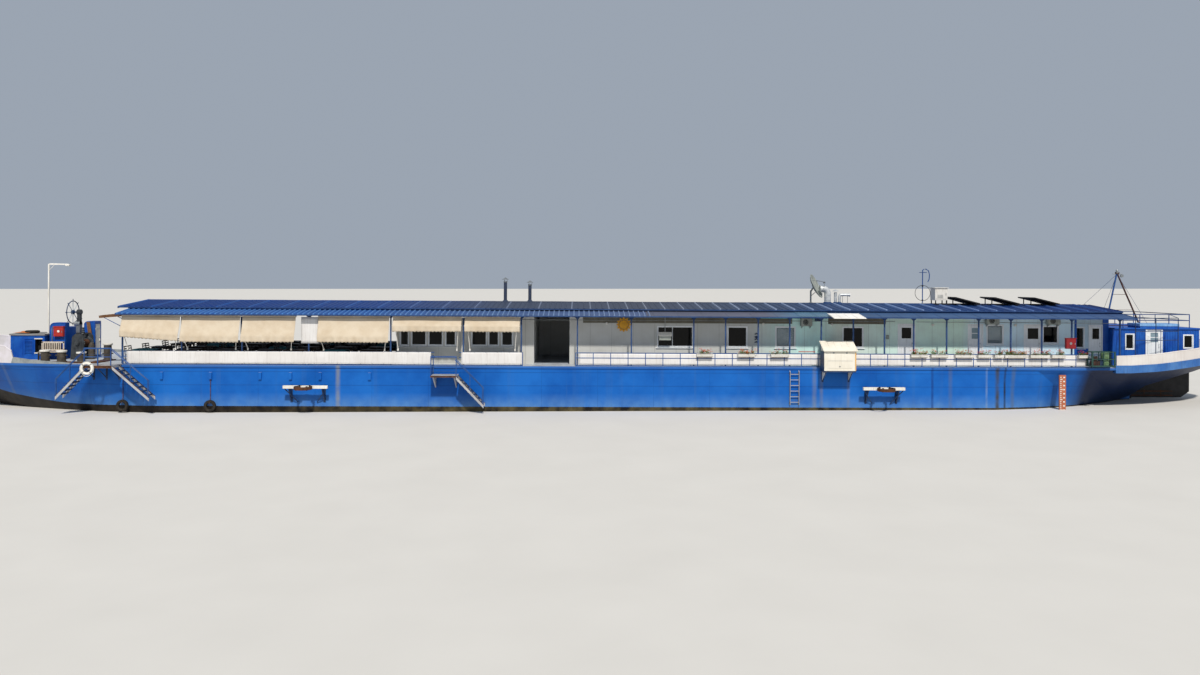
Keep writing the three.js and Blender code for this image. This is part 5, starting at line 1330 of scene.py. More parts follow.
# %% Tyres
TYRE_Z = 0.84
HALF_SECTION = [(0.305, 0.055), (0.298, 0.075), (0.25, 0.088), (0.19, 0.07), (0.165, 0.05), (0.175, 0.045),
                (0.20, 0.06), (0.25, 0.074), (0.287, 0.06)]
TYRE_SECTION = ([(0.305, -0.055)] + HALF_SECTION + [(0.29, 0)]
                + [(r, -across) for r, across in HALF_SECTION[::-1]])
for name, x in (("tyre_fore", -24.6), ("tyre_aft", -19.99)):
    _, (y0, y1), (_, z1) = span(name)
    y = y0 + 0.09
    tyre = Form()
    tyre.turned(TYRE_SECTION, (x, y, TYRE_Z), 1, 40)
    for k in range(36):
        angle = 2 * math.pi * k / 36
        for low, high, shift in ((-0.05, -0.006, 0.0), (0.006, 0.05, 0.087)):
            a0, a1 = angle + shift, angle + shift + 0.1
            ring = [(r * math.cos(a), r * math.sin(a))
                    for r, a in ((0.303, a0), (0.312, a0), (0.312, a1), (0.303, a1))]
            points = [(x + u, y + at, TYRE_Z + v) for at in (low, high) for u, v in ring]
            tyre.add(points, [(1, 2, 6, 5), (0, 1, 5, 4), (2, 3, 7, 6), (0, 3, 2, 1), (4, 5, 6, 7)])
    hang = [(x, y1 - 0.022, z1), (x, y1 - 0.025, 1.25), (x, y, 1.10), (x, y - 0.10, 1.02),
            (x, y - 0.09, 0.93)]
    tyre.tube(hang, 0.017, 7, 1)
    piece(f"{name}_tread", tyre, [rubber, rusty_plate], replaces=[name], smooth=40)

# %% Lifebuoy
BUOY_X, BUOY_Y, BUOY_Z = -25.87, -5.5206, 2.90
BUOY_RING, BUOY_THICK = 0.27, 0.066
buoy = Form()
section = circle(12, BUOY_THICK, 0, BUOY_RING, BUOY_Y)
buoy.turned(section + section[:1], (BUOY_X, 0, BUOY_Z), 1, 40)
for k in range(4):
    middle = math.pi / 4 + k * math.pi / 2
    sections = []
    for around in [middle + (i - 2) * 0.06 for i in range(5)]:
        sections.append([(BUOY_X + r * math.cos(around), y, BUOY_Z + r * math.sin(around))
                         for r, y in circle(12, BUOY_THICK + 0.004, 0, BUOY_RING, BUOY_Y)])
    buoy.loft(sections, 1, capped=False)
line = []
for angle in [2 * math.pi * k / 32 for k in range(32)]:
    loose = abs(math.sin(2 * (angle - math.pi / 4)))
    droop = -0.05 * loose if math.sin(angle) < 0 else 0.0
    reach = 0.349 + 0.012 * loose
    line.append((BUOY_X + reach * math.cos(angle), BUOY_Y - 0.01, BUOY_Z + reach * math.sin(angle) + droop))
buoy.tube(line, 0.01, 6, 2, closed=True)
piece("lifebuoy_ring", buoy, [foam_white, band_paint, curtain_cloth], replaces=["lifebuoy"])

# %% Stores basket
coat(basket_green, "basket")
mesh = Form()
(x0, x1), (y0, y1), (z0, z1) = span("basket")
for y in (y0 + 0.02, y1 - 0.02):
    for x in [x0 + 0.06 + i * (x1 - x0 - 0.12) / 12 for i in range(13)]:
        mesh.tube([(x, y, z0 + 0.05), (x, y, z1 - 0.03)], 0.004, 4)
for z in [z0 + 0.08 + k * 0.1 for k in range(8)]:
    for y in (y0 + 0.02, y1 - 0.02):
        mesh.tube([(x0 + 0.02, y, z), (x1 - 0.02, y, z)], 0.004, 4)
    for x in (x0 + 0.02, x1 - 0.02):
        mesh.tube([(x, y0 + 0.02, z), (x, y1 - 0.02, z)], 0.004, 4)
piece("basket_mesh", mesh, [basket_green])
goods = Form()
goods.turned([(0, 3.15), (0.19, 3.15), (0.20, 3.2), (0.205, 3.42), (0.195, 3.44), (0.205, 3.46),
              (0.205, 3.78), (0.17, 3.86), (0.06, 3.87), (0.06, 3.9), (0, 3.9)], (27.85, -4.58, 0), 2, 20)
goods.block((27.12, 27.50), (-4.78, -4.44), (3.15, 3.42), 1)
goods.turned([(0, 3.15), (0.13, 3.15), (0.13, 3.5), (0.10, 3.54), (0, 3.54)], (27.56, -4.68, 0), 2, 14, 2)
goods.turned([(0, 3.42), (0.1, 3.42), (0.12, 3.66), (0, 3.66)], (27.3, -4.62, 0), 2, 14, 1)
piece("basket_goods", goods, [green_drum, mast_brown, dark_rail], edge=0.006)

# %% [markdown]
# ## Bow deck
# The bow is the working end: capped bollards on a rusty plate, a blue companion and a small blue house, a
# hatch with louvres, a bench, a windlass and a tall hand wheel on its column.

# %% Bollards
coat(rusty_plate, "bollards")
BOLLARDS = (
    # X, Y, radius, top
    (-29.20, -3.45, 0.21, 3.681), (-28.30, -3.50, 0.21, 3.661), (-27.22, -3.56, 0.19, 3.591),
    (-26.60, -2.05, 0.19, 3.951),
)
caps = Form()
for x, y, r, top in BOLLARDS:
    caps.turned([(r + 0.002, 3.052), (r + 0.05, 3.052), (r + 0.05, 3.085), (r + 0.006, 3.11),
                 (r + 0.006, top - 0.09)], (x, y, 0), 2, 28, 1)
    caps.turned([(r, top - 0.086), (r + 0.05, top - 0.086), (r + 0.06, top - 0.07), (r + 0.06, top - 0.006),
                 (r + 0.045, top + 0.008), (0, top + 0.014)], (x, y, 0), 2, 28)
    caps.tube([(x - r - 0.11, y, 3.40), (x + r + 0.11, y, 3.40)], 0.035, 10, 1)
piece("bollard_caps", caps, [white_enamel, bollard_paint], edge=0.005)

# %% Companion and bow house
coat(house_enamel, "companion", "bow_house")
coat(white_enamel, "companion_door")
trims = Form()


def hood_band(x0, x1, sides, z1, radius):
    """A raised strip round the side outline of a hooded box, on the faces at each Y in sides."""
    route = [(x1 - 0.02, DECK), (x1 - 0.02, z1 - 0.02)]
    route += circle(24, radius - 0.02, math.pi / 2, x0 + radius, z1 - radius)[:7]
    route.append((x0 + 0.02, DECK))
    for y in sides:
        trims.tube([(x, y, z) for x, z in route], 0.018, 6)


hood_band(-29.02, -28.40, (-0.004, 0.664), 5.08, 0.2)
hood_band(-30.27, -29.40, (-1.204,), 5.05, 0.26)
trims.blocks(
    # foot strips, seams of the bow house, then the frame round the companion's door
    (-29.035, -28.385, -0.015, 0.675, 3.0, 3.06), (-30.285, -29.385, -1.215, 0.21, 3.0, 3.06),
    (-30.22, -29.44, -1.206, -1.198, 3.7, 3.72), (-30.22, -29.44, -1.206, -1.198, 4.4, 4.42),
    (-28.402, -28.386, 0.0, 0.058, 3.12, 4.98), (-28.402, -28.386, 0.602, 0.66, 3.12, 4.98),
    (-28.402, -28.386, 0.058, 0.602, 4.922, 4.98))
for z in [4.0 + k * 0.055 for k in range(9)]:
    trims.block((-28.93, -28.56), (-0.02, 0.0), (z, z + 0.03))
piece("deck_house_trim", trims, [house_enamel], edge=0.003)
leaf_trim = Form()
leaf_trim.blocks(
    (-28.401, -28.391, 0.10, 0.56, 3.3, 3.32), (-28.401, -28.391, 0.10, 0.56, 4.68, 4.70),
    (-28.401, -28.391, 0.10, 0.12, 3.32, 4.68), (-28.401, -28.391, 0.54, 0.56, 3.32, 4.68),
    (-28.401, -28.36, 0.50, 0.53, 3.95, 4.15, 1))
piece("companion_door_trim", leaf_trim, [white_enamel, galvanised], body="companion_door", edge=0.002)

red_box = Form()
red_box.blocks((-29.97, -29.42, -1.37, -1.21, 4.28, 4.82), (-29.94, -29.45, -1.385, -1.37, 4.31, 4.79),
               (-29.99, -29.40, -1.40, -1.20, 4.82, 4.85), (-29.51, -29.48, -1.40, -1.385, 4.48, 4.60, 2))
red_box.disc((-29.69, 0, 4.57), 1, 0.07, -1.392, -1.384, 16, 1)
red_box.tube([(-30.12, -1.225, 3.95), (-30.12, -1.225, 4.74), (-30.08, -1.225, 4.78), (-29.96, -1.225, 4.78)],
             0.022, 8, 2)
piece("bow_hose_box", red_box, [red_enamel, white_enamel, galvanised], edge=0.006)

# %% Hatch
# The inside faces of the opening in the hatch's side are painted black: painted shade in the recess.
painted("bow_hatch", [house_enamel, black_paint],
        lambda x, y, z: int(-30.91 < x < -30.49 and y > -1.497 and 3.375 < z < 4.155))
hatch = Form()
(x0, x1), (y0, y1), _ = span("bow_hatch")
for z in [3.35 + k * 0.075 for k in range(10)]:
    hatch.prism([(-1.5, z + 0.045), (-1.535, z + 0.02), (-1.535, z + 0.012), (-1.5, z + 0.035)], 0,
                (-31.44, -31.04))
hatch.blocks(
    # frame round the louvres, sill and head of the opening, two hinge straps
    (-31.48, -31.44, -1.53, -1.49, 3.3, 4.14), (-31.04, -31.0, -1.53, -1.49, 3.3, 4.14),
    (-31.48, -31.0, -1.53, -1.49, 4.12, 4.16), (-30.93, -30.47, -1.53, -1.43, 3.33, 3.385, 1),
    (-30.93, -30.47, -1.53, -1.43, 4.13, 4.185, 1), (-32.1, -32.08, -1.512, -1.499, 3.0, 4.33),
    (-31.6, -31.58, -1.512, -1.499, 3.0, 4.33))
piece("hatch_louvres", hatch, [house_enamel, white_enamel], edge=0.003)
lid = Form()
lid.blocks(
    (x0 - 0.01, x1 + 0.01, y0 - 0.01, y1 + 0.01, 4.405, 4.43),
    (x0 - 0.012, x1 + 0.012, y0 - 0.014, y0, 4.34, 4.43),
    (x0 - 0.012, x1 + 0.012, y1, y1 + 0.014, 4.34, 4.43), (x0 - 0.014, x0, y0, y1, 4.34, 4.43),
    (x1, x1 + 0.014, y0, y1, 4.34, 4.43))
for y in (-1.0, -0.4, 0.1):
    lid.block((x0, -30.75), (y - 0.012, y + 0.012), (4.43, 4.446))
piece("hatch_lid", lid, [deck_paint], edge=0.004)
old_tyre = Form()
profile = circle(12, 0.075, 0, 0.30, 4.52)
old_tyre.turned(profile + profile[:1], (-31.35, -1.0, 0), 2, 30)
piece("tyre_on_hatch", old_tyre, [rubber])
rows = []
for i in range(13):
    row = []
    for j in range(17):
        x, y = -32.15 + j * 0.055, -1.45 + i * 0.06
        crumple = 0.05 * math.sin(3.1 * i) * math.sin(2.3 * j)
        crumple += 0.1 * math.exp(-((i - 6) ** 2 + (j - 8) ** 2) / 22)
        row.append((x + 0.008 * math.sin(2.1 * i), y + 0.008 * math.sin(1.7 * j), 4.475 + abs(crumple) * 0.9))
    rows.append(row)
made = cloth_of("crumpled_tarpaulin", rows, orange_cloth, 0.006, 70)

# %% Bench and lamp post
coat(furniture, "bench")
bench = Form()
bench.blocks((-30.504, -30.436, -1.576, -1.534, 3.45, 4.01), (-29.324, -29.256, -1.576, -1.534, 3.45, 4.01),
             (-30.505, -29.255, -1.576, -1.534, 3.492, 3.568),
             (-30.505, -29.255, -1.576, -1.534, 3.922, 4.006))
# Recessed dark brown strips between the pale slats are painted shade in the gaps.
for i in range(1, 21):
    x = -30.491 + (i + 1) * 1.12 / 22
    y = (-1.571, -1.543) if i % 2 else (-1.556, -1.544)
    bench.block((x - 0.024, x + 0.024), y, (3.55, 3.94), (i + 1) % 2)
for y in [-1.918 + k * 0.1 for k in range(4)]:
    bench.block((-30.51, -29.25), (y, y + 0.08), (3.428, 3.452))
piece("bench_slats", bench, [bench_paint, mast_brown], edge=0.004)

coat(white_enamel, "lamp_post")
LAMP_X, LAMP_Y = -30.45, -1.0
lamp = Form()
lamp.tube([(LAMP_X, LAMP_Y, 4.44), (LAMP_X, LAMP_Y, 8.33)], 0.038, 12)
neck = ((LAMP_X, 8.3), (-30.43, 8.345), (-30.38, 8.36), (-29.35, 8.335))
lamp.tube([(x, LAMP_Y, z) for x, z in neck], 0.028, 10)
lamp.tube([(-30.43, LAMP_Y, 8.0), (-30.12, LAMP_Y, 8.32)], 0.014, 6)
lamp.prism([(-29.52, 8.345), (-29.28, 8.335), (-29.27, 8.27), (-29.5, 8.235)], 1, (-1.075, -0.925), 0)
lamp.block((-29.49, -29.29), (-1.055, -0.945), (8.232, 8.243), 1)
for dx in (-0.09, 0.03):
    for dy in (-0.06, 0.06):
        lamp.disc((LAMP_X + dx, LAMP_Y + dy, 0), 2, 0.016, 4.47, 4.44, 6, 2)
piece("lamp_post_tubes", lamp, [white_enamel, curtain_cloth, galvanised], edge=0.003)

# %% Hand wheel
WHEEL_X, WHEEL_Z, WHEEL_RIM = -29.65, 5.60, 0.64
wheel = Form()
section = circle(10, 0.026, 0, WHEEL_RIM, WHEEL_X)
wheel.turned(section + section[:1], (0, 0, WHEEL_Z), 0, 48)
wheel.disc((0, 0, WHEEL_Z), 0, 0.045, -29.74, -29.41)
for c, s in circle(8, 1):
    wheel.tube([(WHEEL_X, r * c, WHEEL_Z + r * s) for r in (0.1, 0.63)], 0.02, 8, 1)
    wheel.tube([(WHEEL_X, r * c, WHEEL_Z + r * s) for r in (WHEEL_RIM, 0.70, 0.73, 0.758)], 0.02, 8)
wheel.turned([(0.045, -0.09), (0.085, -0.09), (0.095, -0.075), (0.12, -0.06), (0.12, 0.06), (0.095, 0.075),
              (0.045, 0.078)], (WHEEL_X, 0, WHEEL_Z), 0, 24)
piece("hand_wheel_rim", wheel, [dark_rail, pale_spoke], body="hand_wheel", replaces=["hand_wheel"])

# %% Windlass and column
coat(machine_grey, "windlass_frame", "windlass_drum")
DRUM_X, DRUM_Z = -28.55, 3.9
mill = Form()
mill.prism([(-28.95, 3.05), (-28.15, 3.05), (-28.24, 4.24), (-28.43, 4.42), (-28.67, 4.42),
            (-28.86, 4.24)], 1, (-1.512, -1.501))
mill.turned([(0, -1.60), (0.09, -1.60), (0.11, -1.58), (0.11, -1.5), (0, -1.5)], (DRUM_X, 0, DRUM_Z), 1, 18)
for x, z in circle(8, 0.2, 0, DRUM_X, DRUM_Z):
    mill.disc((x, 0, z), 1, 0.018, -1.522, -1.51, 6)
mill.blocks((-29.39, -29.17, -0.13, 0.13, 3.06, 3.10), (-29.50, -29.19, -0.14, 0.14, 4.42, 4.88, 2),
            *[(-29.375, -29.185, -0.125, 0.125, z, z + 0.05) for z in (3.6, 4.2, 5.2)])
mill.turned([(0, -29.40), (0.13, -29.40), (0.16, -29.38), (0.16, -29.18), (0.12, -29.15), (0, -29.15)],
            (0, 0, WHEEL_Z), 0, 20)
mill.turned([(0, -29.52), (0.15, -29.52), (0.18, -29.49), (0.18, -29.20), (0, -29.20)],
            (0, 0, 4.92), 0, 24, 2)
for k in range(3):
    wide, foot = 0.10 - 0.02 * k, 4.42 + 0.12 * k
    mill.turned([(0, foot), (wide, foot + 0.01), (wide, foot + 0.11), (0, foot + 0.12)],
                (DRUM_X, -0.95, 0), 2, 16)
mill.turned([(0.16, DECK), (0.16, 3.75), (0.12, 3.86), (0.05, 3.95), (0, 3.95)], (-27.97, -1.15, 0), 2, 20, 1)
mill.tube([(-27.97, -1.15, 3.93), (-27.97, -1.15, 4.1), (-28.15, -1.15, 4.18), (-28.42, -1.2, 4.12)], 0.03, 8)
piece("windlass_fittings", mill, [machine_grey, bollard_paint, galvanised], edge=0.005)
drum = Form()
wire = [(0.192, -1.30)]
for y in [-1.30 + (k + 0.5) * 0.041 for k in range(16)]:
    wire += [(0.205, y - 0.014), (0.216, y), (0.205, y + 0.014)]
drum.turned(wire + [(0.192, -0.63)], (DRUM_X, 0, DRUM_Z), 1, 28)
for y in (-1.395, -0.545):
    for x, z in circle(24, 0.33, 0, DRUM_X, DRUM_Z):
        drum.disc((x, 0, z), 1, 0.02, y - 0.016, y + 0.016, 6, 1)
piece("windlass_wire", drum, [rusty_plate, grey_enamel], body="windlass_drum")

# %% Leaning plank, entry canopy
plank = Form()
plank.loft([[(x + dx, y + dy, z) for dx, dy in ((-0.1, 0), (0.1, 0), (0.1, 0.05), (-0.1, 0.05))]
            for x, y, z in ((-28.26, -0.42, 3.062), (-28.76, -0.07, 5.04))])
piece("leaning_plank", plank, [brown_board], edge=0.006)

coat(brown_board, "entry_canopy")
boards = Form()
(x0, x1), (y0, y1), _ = span("entry_canopy")
pitch = (y1 - y0) / 9
for i in range(9):
    y, lift = y0 + i * pitch, 0.012 * (i % 2)
    outline = [(x0 - 0.03, 5.555 + lift), (x1, 5.695 + lift), (x1, 5.71 + lift), (x0 - 0.03, 5.57 + lift)]
    boards.prism(outline, 1, (y + 0.005, y + pitch - 0.005))
for y in (y0 + 0.05, y1 - 0.05):
    boards.prism([(x0, 5.50), (x1, 5.636), (x1, 5.55), (x0, 5.44)], 1, (y - 0.03, y + 0.03))
    boards.tube([(x0 + 0.25, y, 5.47), (x1 + 0.01, y, 4.95)], 0.02, 6, 1)
piece("entry_boards", boards, [brown_board, rail_enamel], edge=0.004)

# %% [markdown]
# ## Terrace
# Under the roof stand rows of dark tables and chairs, seen as shapes in the shade below the awnings. A few
# tables have a cloth.


# %% Tables and chairs
def table(form, x, y):
    form.block((x - 0.6, x + 0.6), (y - 0.4, y + 0.4), (DECK + 0.72, DECK + 0.755))
    for dx in (-0.52, 0.52):
        for dy in (-0.33, 0.33):
            form.block((x + dx - 0.03, x + dx + 0.03), (y + dy - 0.03, y + dy + 0.03), (DECK, DECK + 0.72))
    for side in (-1, 1):
        form.block((x - 0.52, x + 0.52), (y + side * 0.315, y + side * 0.34), (DECK + 0.64, DECK + 0.72))


def chair(form, x, y, facing):
    back = x - facing * 0.2
    form.block((x - 0.2, x + 0.2), (y - 0.2, y + 0.2), (DECK + 0.43, DECK + 0.46))
    for leg in (y - 0.18, y + 0.18):
        form.tube([(x + facing * 0.18, leg, DECK), (x + facing * 0.18, leg, DECK + 0.44)], 0.017, 6)
        form.tube([(back, leg, DECK), (back, leg, DECK + 0.46), (back - facing * 0.07, leg, DECK + 0.92)],
                  0.017, 6)
    for k in range(3):
        z = DECK + 0.62 + k * 0.12
        lean = back - facing * (0.025 + 0.02 * k)
        form.block((lean - 0.01, lean + 0.01), (y - 0.19, y + 0.19), (z, z + 0.06))


tables, chairs = Form(), Form()
covered = []
for i, x in enumerate((-23.9, -21.7, -19.5, -17.3, -15.9, -13.7, -11.8)):
    for j, y in enumerate((-3.2, -1.2, 1.2, 3.2)):
        table(tables, x, y)
        for dy in (-0.198, 0.198):
            chair(chairs, x - 0.78, y + dy, 1)
            chair(chairs, x + 0.78, y + dy, -1)
        if (i + 2 * j) % 5 == 0:
            covered.append((x, y))
piece("terrace_tables", tables, [furniture], edge=0.006)
piece("terrace_chairs", chairs, [furniture])


def hung_over(at, edge, fold):
    """A place on the cloth moved to the table's edge where it hangs over it."""
    return math.copysign(min(abs(at), edge) + 0.012 + fold, at) if abs(at) > edge else at


for number, (x, y) in enumerate(covered, 1):
    rows = []
    for i in range(21):
        v = (i / 20 - 0.5) * 1.2
        row = []
        for j in range(29):
            u = (j / 28 - 0.5) * 1.6
            drop = max(0, abs(u) - 0.605, abs(v) - 0.405)
            fold = 0.018 * math.sin(16 * u + 11 * v) * min(1, drop * 9)
            row.append((x + hung_over(u, 0.605, fold), y + hung_over(v, 0.405, fold), DECK + 0.76 - drop))
        rows.append(row)
    made = cloth_of(f"table_linen_{number}", rows, table_linen, 0.004)

# %% [markdown]
# ## Roof gear
# On the ridge stand a grey dish, smoke ducts of spiral pipe, a blue aerial with a loop, a white plant box on
# legs and three dark panels tilted on a skid. The panels get their frames and cell lines, the box its door.

# %% Plant box and panels
coat(black_paint, "roof_equipment")
plant = Form()
plant.blocks(
    # case, lid, door, handle, then the louvres
    (20.278, 21.012, -0.362, 0.362, 6.55, 7.26), (20.22, 21.07, -0.42, 0.42, 7.26, 7.30),
    (20.34, 20.95, -0.372, -0.362, 6.62, 7.20), (20.90, 20.93, -0.39, -0.37, 6.84, 6.98, 1),
    *[(20.42, 20.75, -0.379, -0.371, z, z + 0.015, 1) for z in [6.68 + k * 0.035 for k in range(6)]])
piece("plant_box", plant, [white_enamel, galvanised], edge=0.006)


def slab_on(form, x0, x1, height, over, under, ends, paint=0):
    """A strip that follows the slope of a panel from x0 to x1, from under to over its line."""
    outline = [(x0, height(x0) + over), (x1, height(x1) + over), (x1, height(x1) + under),
               (x0, height(x0) + under)]
    form.prism(outline, 1, ends, paint)


def tilted(x0, x1):
    """The height of a panel's plane over any x, for a panel from x0 to x1."""
    return lambda x: 6.75 - 0.35 * (x - x0) / (x1 - x0)


panels = Form()
for x0, x1 in ((21.23, 22.64), (23.53, 24.97), (25.84, 27.31)):
    slope = tilted(x0, x1)
    for ends in ((-1.012, -0.975), (0.975, 1.012), (-0.018, 0.018)):
        slab_on(panels, x0, x1, slope, 0.012, -0.055, ends)
    for x in (x0, x1 - 0.035):
        fore, back = slope(x), slope(x + 0.035)
        panels.prism([(x - 0.008, fore + 0.012), (x + 0.043, back + 0.012), (x + 0.043, back - 0.055),
                      (x - 0.008, fore - 0.055)], 1, (-1.0, 1.0))
    slab_on(panels, x0, x1, slope, 0.003, 0.006, (-0.98, 0.98), 1)
    for x in [x0 + k * (x1 - x0) / 9 for k in range(1, 9)]:
        slab_on(panels, x, x + 0.008, slope, 0.005, 0.008, (-0.98, 0.98), 2)
    for y in (-0.44, 0.44):
        panels.tube([(x0 + 0.07, y, 6.66), (x1 - 0.3, y, 6.36)], 0.016, 6)
piece("panel_frames", panels, [black_paint, cell_glass, galvanised], edge=0.003)

# %% Dish
coat(glass_fibre, "dish")
DISH = Vector((13.24, 0.07, 7.27))
DISH_RIM = 0.745
DISH_MAST = 13.06
aim = Vector((0.816, -0.4, 0.42)).normalized()
across = aim.cross(Vector((0, 0, 1))).normalized()
rise = across.cross(aim)


def on_dish(radius, angle, out):
    return DISH + radius * (math.cos(angle) * across + math.sin(angle) * rise) + out * aim


dish = Form()
dish.tube([on_dish(DISH_RIM, 2 * math.pi * k / 48, 0.186) for k in range(48)], 0.014, 6, closed=True)
feed = on_dish(0, 0, 0.74)
for angle in (-math.pi / 2, math.pi / 6, math.pi * 5 / 6):
    dish.tube([on_dish(DISH_RIM - 0.015, angle, 0.19), feed], 0.012, 6, 1)
dish.tube([feed, on_dish(0, 0, 0.62)], 0.045, 10, 1)
for angle in [k * math.pi / 4 + 0.2 for k in range(8)]:
    dish.tube([on_dish(0.10, angle, -0.008), on_dish(0.42, angle, 0.035),
               on_dish(0.70, angle, 0.138)], 0.012, 5)
dish.block((12.97, 13.15), (-0.09, 0.09), (6.362, 6.385), 1)
dish.tube([(DISH_MAST, 0, 6.37), (DISH_MAST, 0, 7.09)], 0.05, 12, 1)
dish.tube([(DISH_MAST, 0, 6.75), on_dish(0.3, -math.pi / 2, 0.01)], 0.018, 6, 1)
piece("dish_rim", dish, [glass_fibre, galvanised])


# %% Smoke ducts
def duct(form, route, radius):
    """A pipe with a raised lock seam every few centimetres along it."""
    form.tube(route, radius, 20)
    for a, b in zip(route, route[1:]):
        a, b = Vector(a), Vector(b)
        count = max(1, int((b - a).length / 0.12))
        half = (b - a).normalized() * 0.009
        for at in [a + (b - a) * ((k + 0.5) / count) for k in range(count)]:
            form.tube([at - half, at + half], radius + 0.007, 20)


ducts = Form()
duct(ducts, [(14.05, 0, 6.30), (14.05, 0, 6.90)], 0.19)
bend = circle(32, 0.28, 0, 14.05 - 0.28, 6.90)[:9]
ducts.tube([(x, 0, z) for x, z in bend] + [(13.62, 0, 7.18)], 0.19, 20)
ducts.collar((0, 0, 7.18), 0, 0.195, 0.215, 13.60, 13.66, 20)
duct(ducts, [(14.55, 0.1, 6.30), (14.55, 0.1, 6.98)], 0.085)
ducts.turned([(0, 7.16), (0.17, 7.06), (0.17, 7.04), (0.09, 7.05), (0, 7.05)], (14.55, 0.1, 0), 2, 18)
duct(ducts, [(14.72, -0.12, 6.30), (14.72, -0.12, 6.78), (14.78, -0.12, 6.84), (15.28, -0.12, 6.84)], 0.075)
ducts.turned([(0.08, 15.28), (0.105, 15.28), (0.105, 15.33), (0.06, 15.34)], (0, -0.12, 6.84), 0, 16)
for x in (14.9, 15.2):
    ducts.tube([(x, -0.12, 6.78), (x, -0.12, 6.31)], 0.014, 6, 1)
for x, y, r in ((14.05, 0, 0.2), (14.55, 0.1, 0.095), (14.72, -0.12, 0.085)):
    ducts.turned([(r, 6.42), (r + 0.12, 6.30), (r + 0.12, 6.26), (r, 6.26)], (x, y, 0), 2, 20, 2)
piece("smoke_ducts", ducts, [spiral, galvanised, upper_sheet])

# %% Aerial
coat(rail_enamel, "antenna")
AERIAL_X = 19.67
aerial = Form()
stem = ((AERIAL_X, 6.33), (AERIAL_X, 8.28), (19.72, 8.36), (19.86, 8.38), (20.02, 8.28), (20.08, 8.05),
        (20.06, 7.78), (19.98, 7.62))
aerial.tube([(x, 0, z) for x, z in stem], 0.026, 10)
aerial.tube([(x, -0.03, z) for x, z in circle(40, 0.45, 0, AERIAL_X, 6.97)], 0.014, 6, 1, closed=True)
aerial.tube([(19.48, 0, 8.18), (19.92, 0, 8.18)], 0.018, 8)
for k in range(4):
    x, half = 19.52 + 0.12 * k, 0.2 - 0.02 * k
    aerial.tube([(x, -half, 8.19), (x, half, 8.19)], 0.007, 5, 2)
for z in (6.55, 7.38):
    aerial.collar((AERIAL_X, 0, z), 2, 0.03, 0.05, -0.03, 0.03, 12, 1)
aerial.turned([(0.03, 6.40), (0.12, 6.33), (0.12, 6.30), (0.03, 6.30)], (AERIAL_X, 0, 0), 2, 16, 2)
piece("roof_aerial", aerial, [rail_enamel, black_paint, galvanised])

# %% [markdown]
# ## Stern
# The stern cabin is blue ribbed sheet with white uPVC windows and a white door, a pale hood over the door,
# a tube rail round its roof and a two-legged mast. A tall tube frame stands along the near bulwark, for a
# cover that isn't fitted. Deck bollards stand in the corners.

# %% Stern cabin
coat(house_enamel, "cabin_walls", "cabin_roof")
CABIN_SIDE = 2.6
CABIN_WINDOWS = [(30.20, 30.66, 3.91, 4.75), (33.51, 34.03, 3.98, 4.71)]
deck_line = rim("hull_stern", near)
ribs, frames, panes = Form(), Form(), Form()
for side in (near, far):
    face = side * CABIN_SIDE
    for x in [29.56 + i * 0.145 for i in range(34)]:
        if side == near and 31.38 < x < 32.28:
            continue
        hit = [w for w in CABIN_WINDOWS if w[0] - 0.07 < x < w[1] + 0.07]
        z0 = between(deck_line, x)[2] + 0.02
        for low, high in ([(z0, 5.0)] if not hit else [(z0, hit[0][2] - 0.08), (hit[0][3] + 0.07, 5.0)]):
            ribs.block((x - 0.02, x + 0.02), (face, face + side * 0.014), (low, high))
    ribs.block((29.46, 34.42), (face, face + side * 0.024), (4.98, 5.03))
    for opening in CABIN_WINDOWS:
        window(frames, panes, opening, face, side, sill=False)
for x in ((29.446, 29.46), (34.40, 34.414)):
    for y in [-2.5 + i * 0.1515 for i in range(34)]:
        ribs.block(x, (y - 0.02, y + 0.02), (3.3, 5.0))
piece("cabin_ribs", ribs, [house_enamel])
frames.blocks((31.33, 31.44, -2.63, -2.58, 3.25, 5.03), (32.21, 32.30, -2.63, -2.58, 3.25, 5.03),
              (31.44, 32.21, -2.63, -2.58, 4.985, 5.03))
piece("cabin_frames", frames, [window_upvc], edge=0.004)
piece("cabin_panes", panes, [dark_glass])
door_trim("cabin_door", 31.46, 32.20, 3.25, 4.98, -CABIN_SIDE, 0.56, True, hazy_glass)
hood = Form()
hood.blocks((30.97, 33.23, -2.67, -1.48, 5.20, 5.345), (30.99, 33.21, -2.65, -1.5, 5.10, 5.20, 1),
            (29.50, 34.48, -2.675, -2.60, 5.028, 5.105, 1), (29.50, 34.48, 2.60, 2.675, 5.028, 5.105, 1),
            (34.40, 34.485, -2.6, 2.6, 5.028, 5.105, 1))
piece("cabin_hood", hood, [hood_blue, house_enamel], edge=0.008)

RAIL_HEIGHTS = (5.525, 5.865)
rail = Form()
for y in (-2.56, 2.56):
    for z in RAIL_HEIGHTS:
        rail.tube([(30.05, y, z), (33.88, y, z)], 0.021, 8)
    for x in (30.07, 31.03, 31.9, 32.69, 33.86):
        rail.tube([(x, y, 5.10), (x, y, 5.87)], 0.021, 8)
        rail.turned([(0.024, 5.115), (0.055, 5.11), (0.055, 5.10), (0.024, 5.10)], (x, y, 0), 2, 10)
for z in RAIL_HEIGHTS:
    rail.tube([(33.86, -2.56, z), (33.86, 2.56, z)], 0.021, 8)
piece("cabin_roof_rail", rail, [dark_rail])

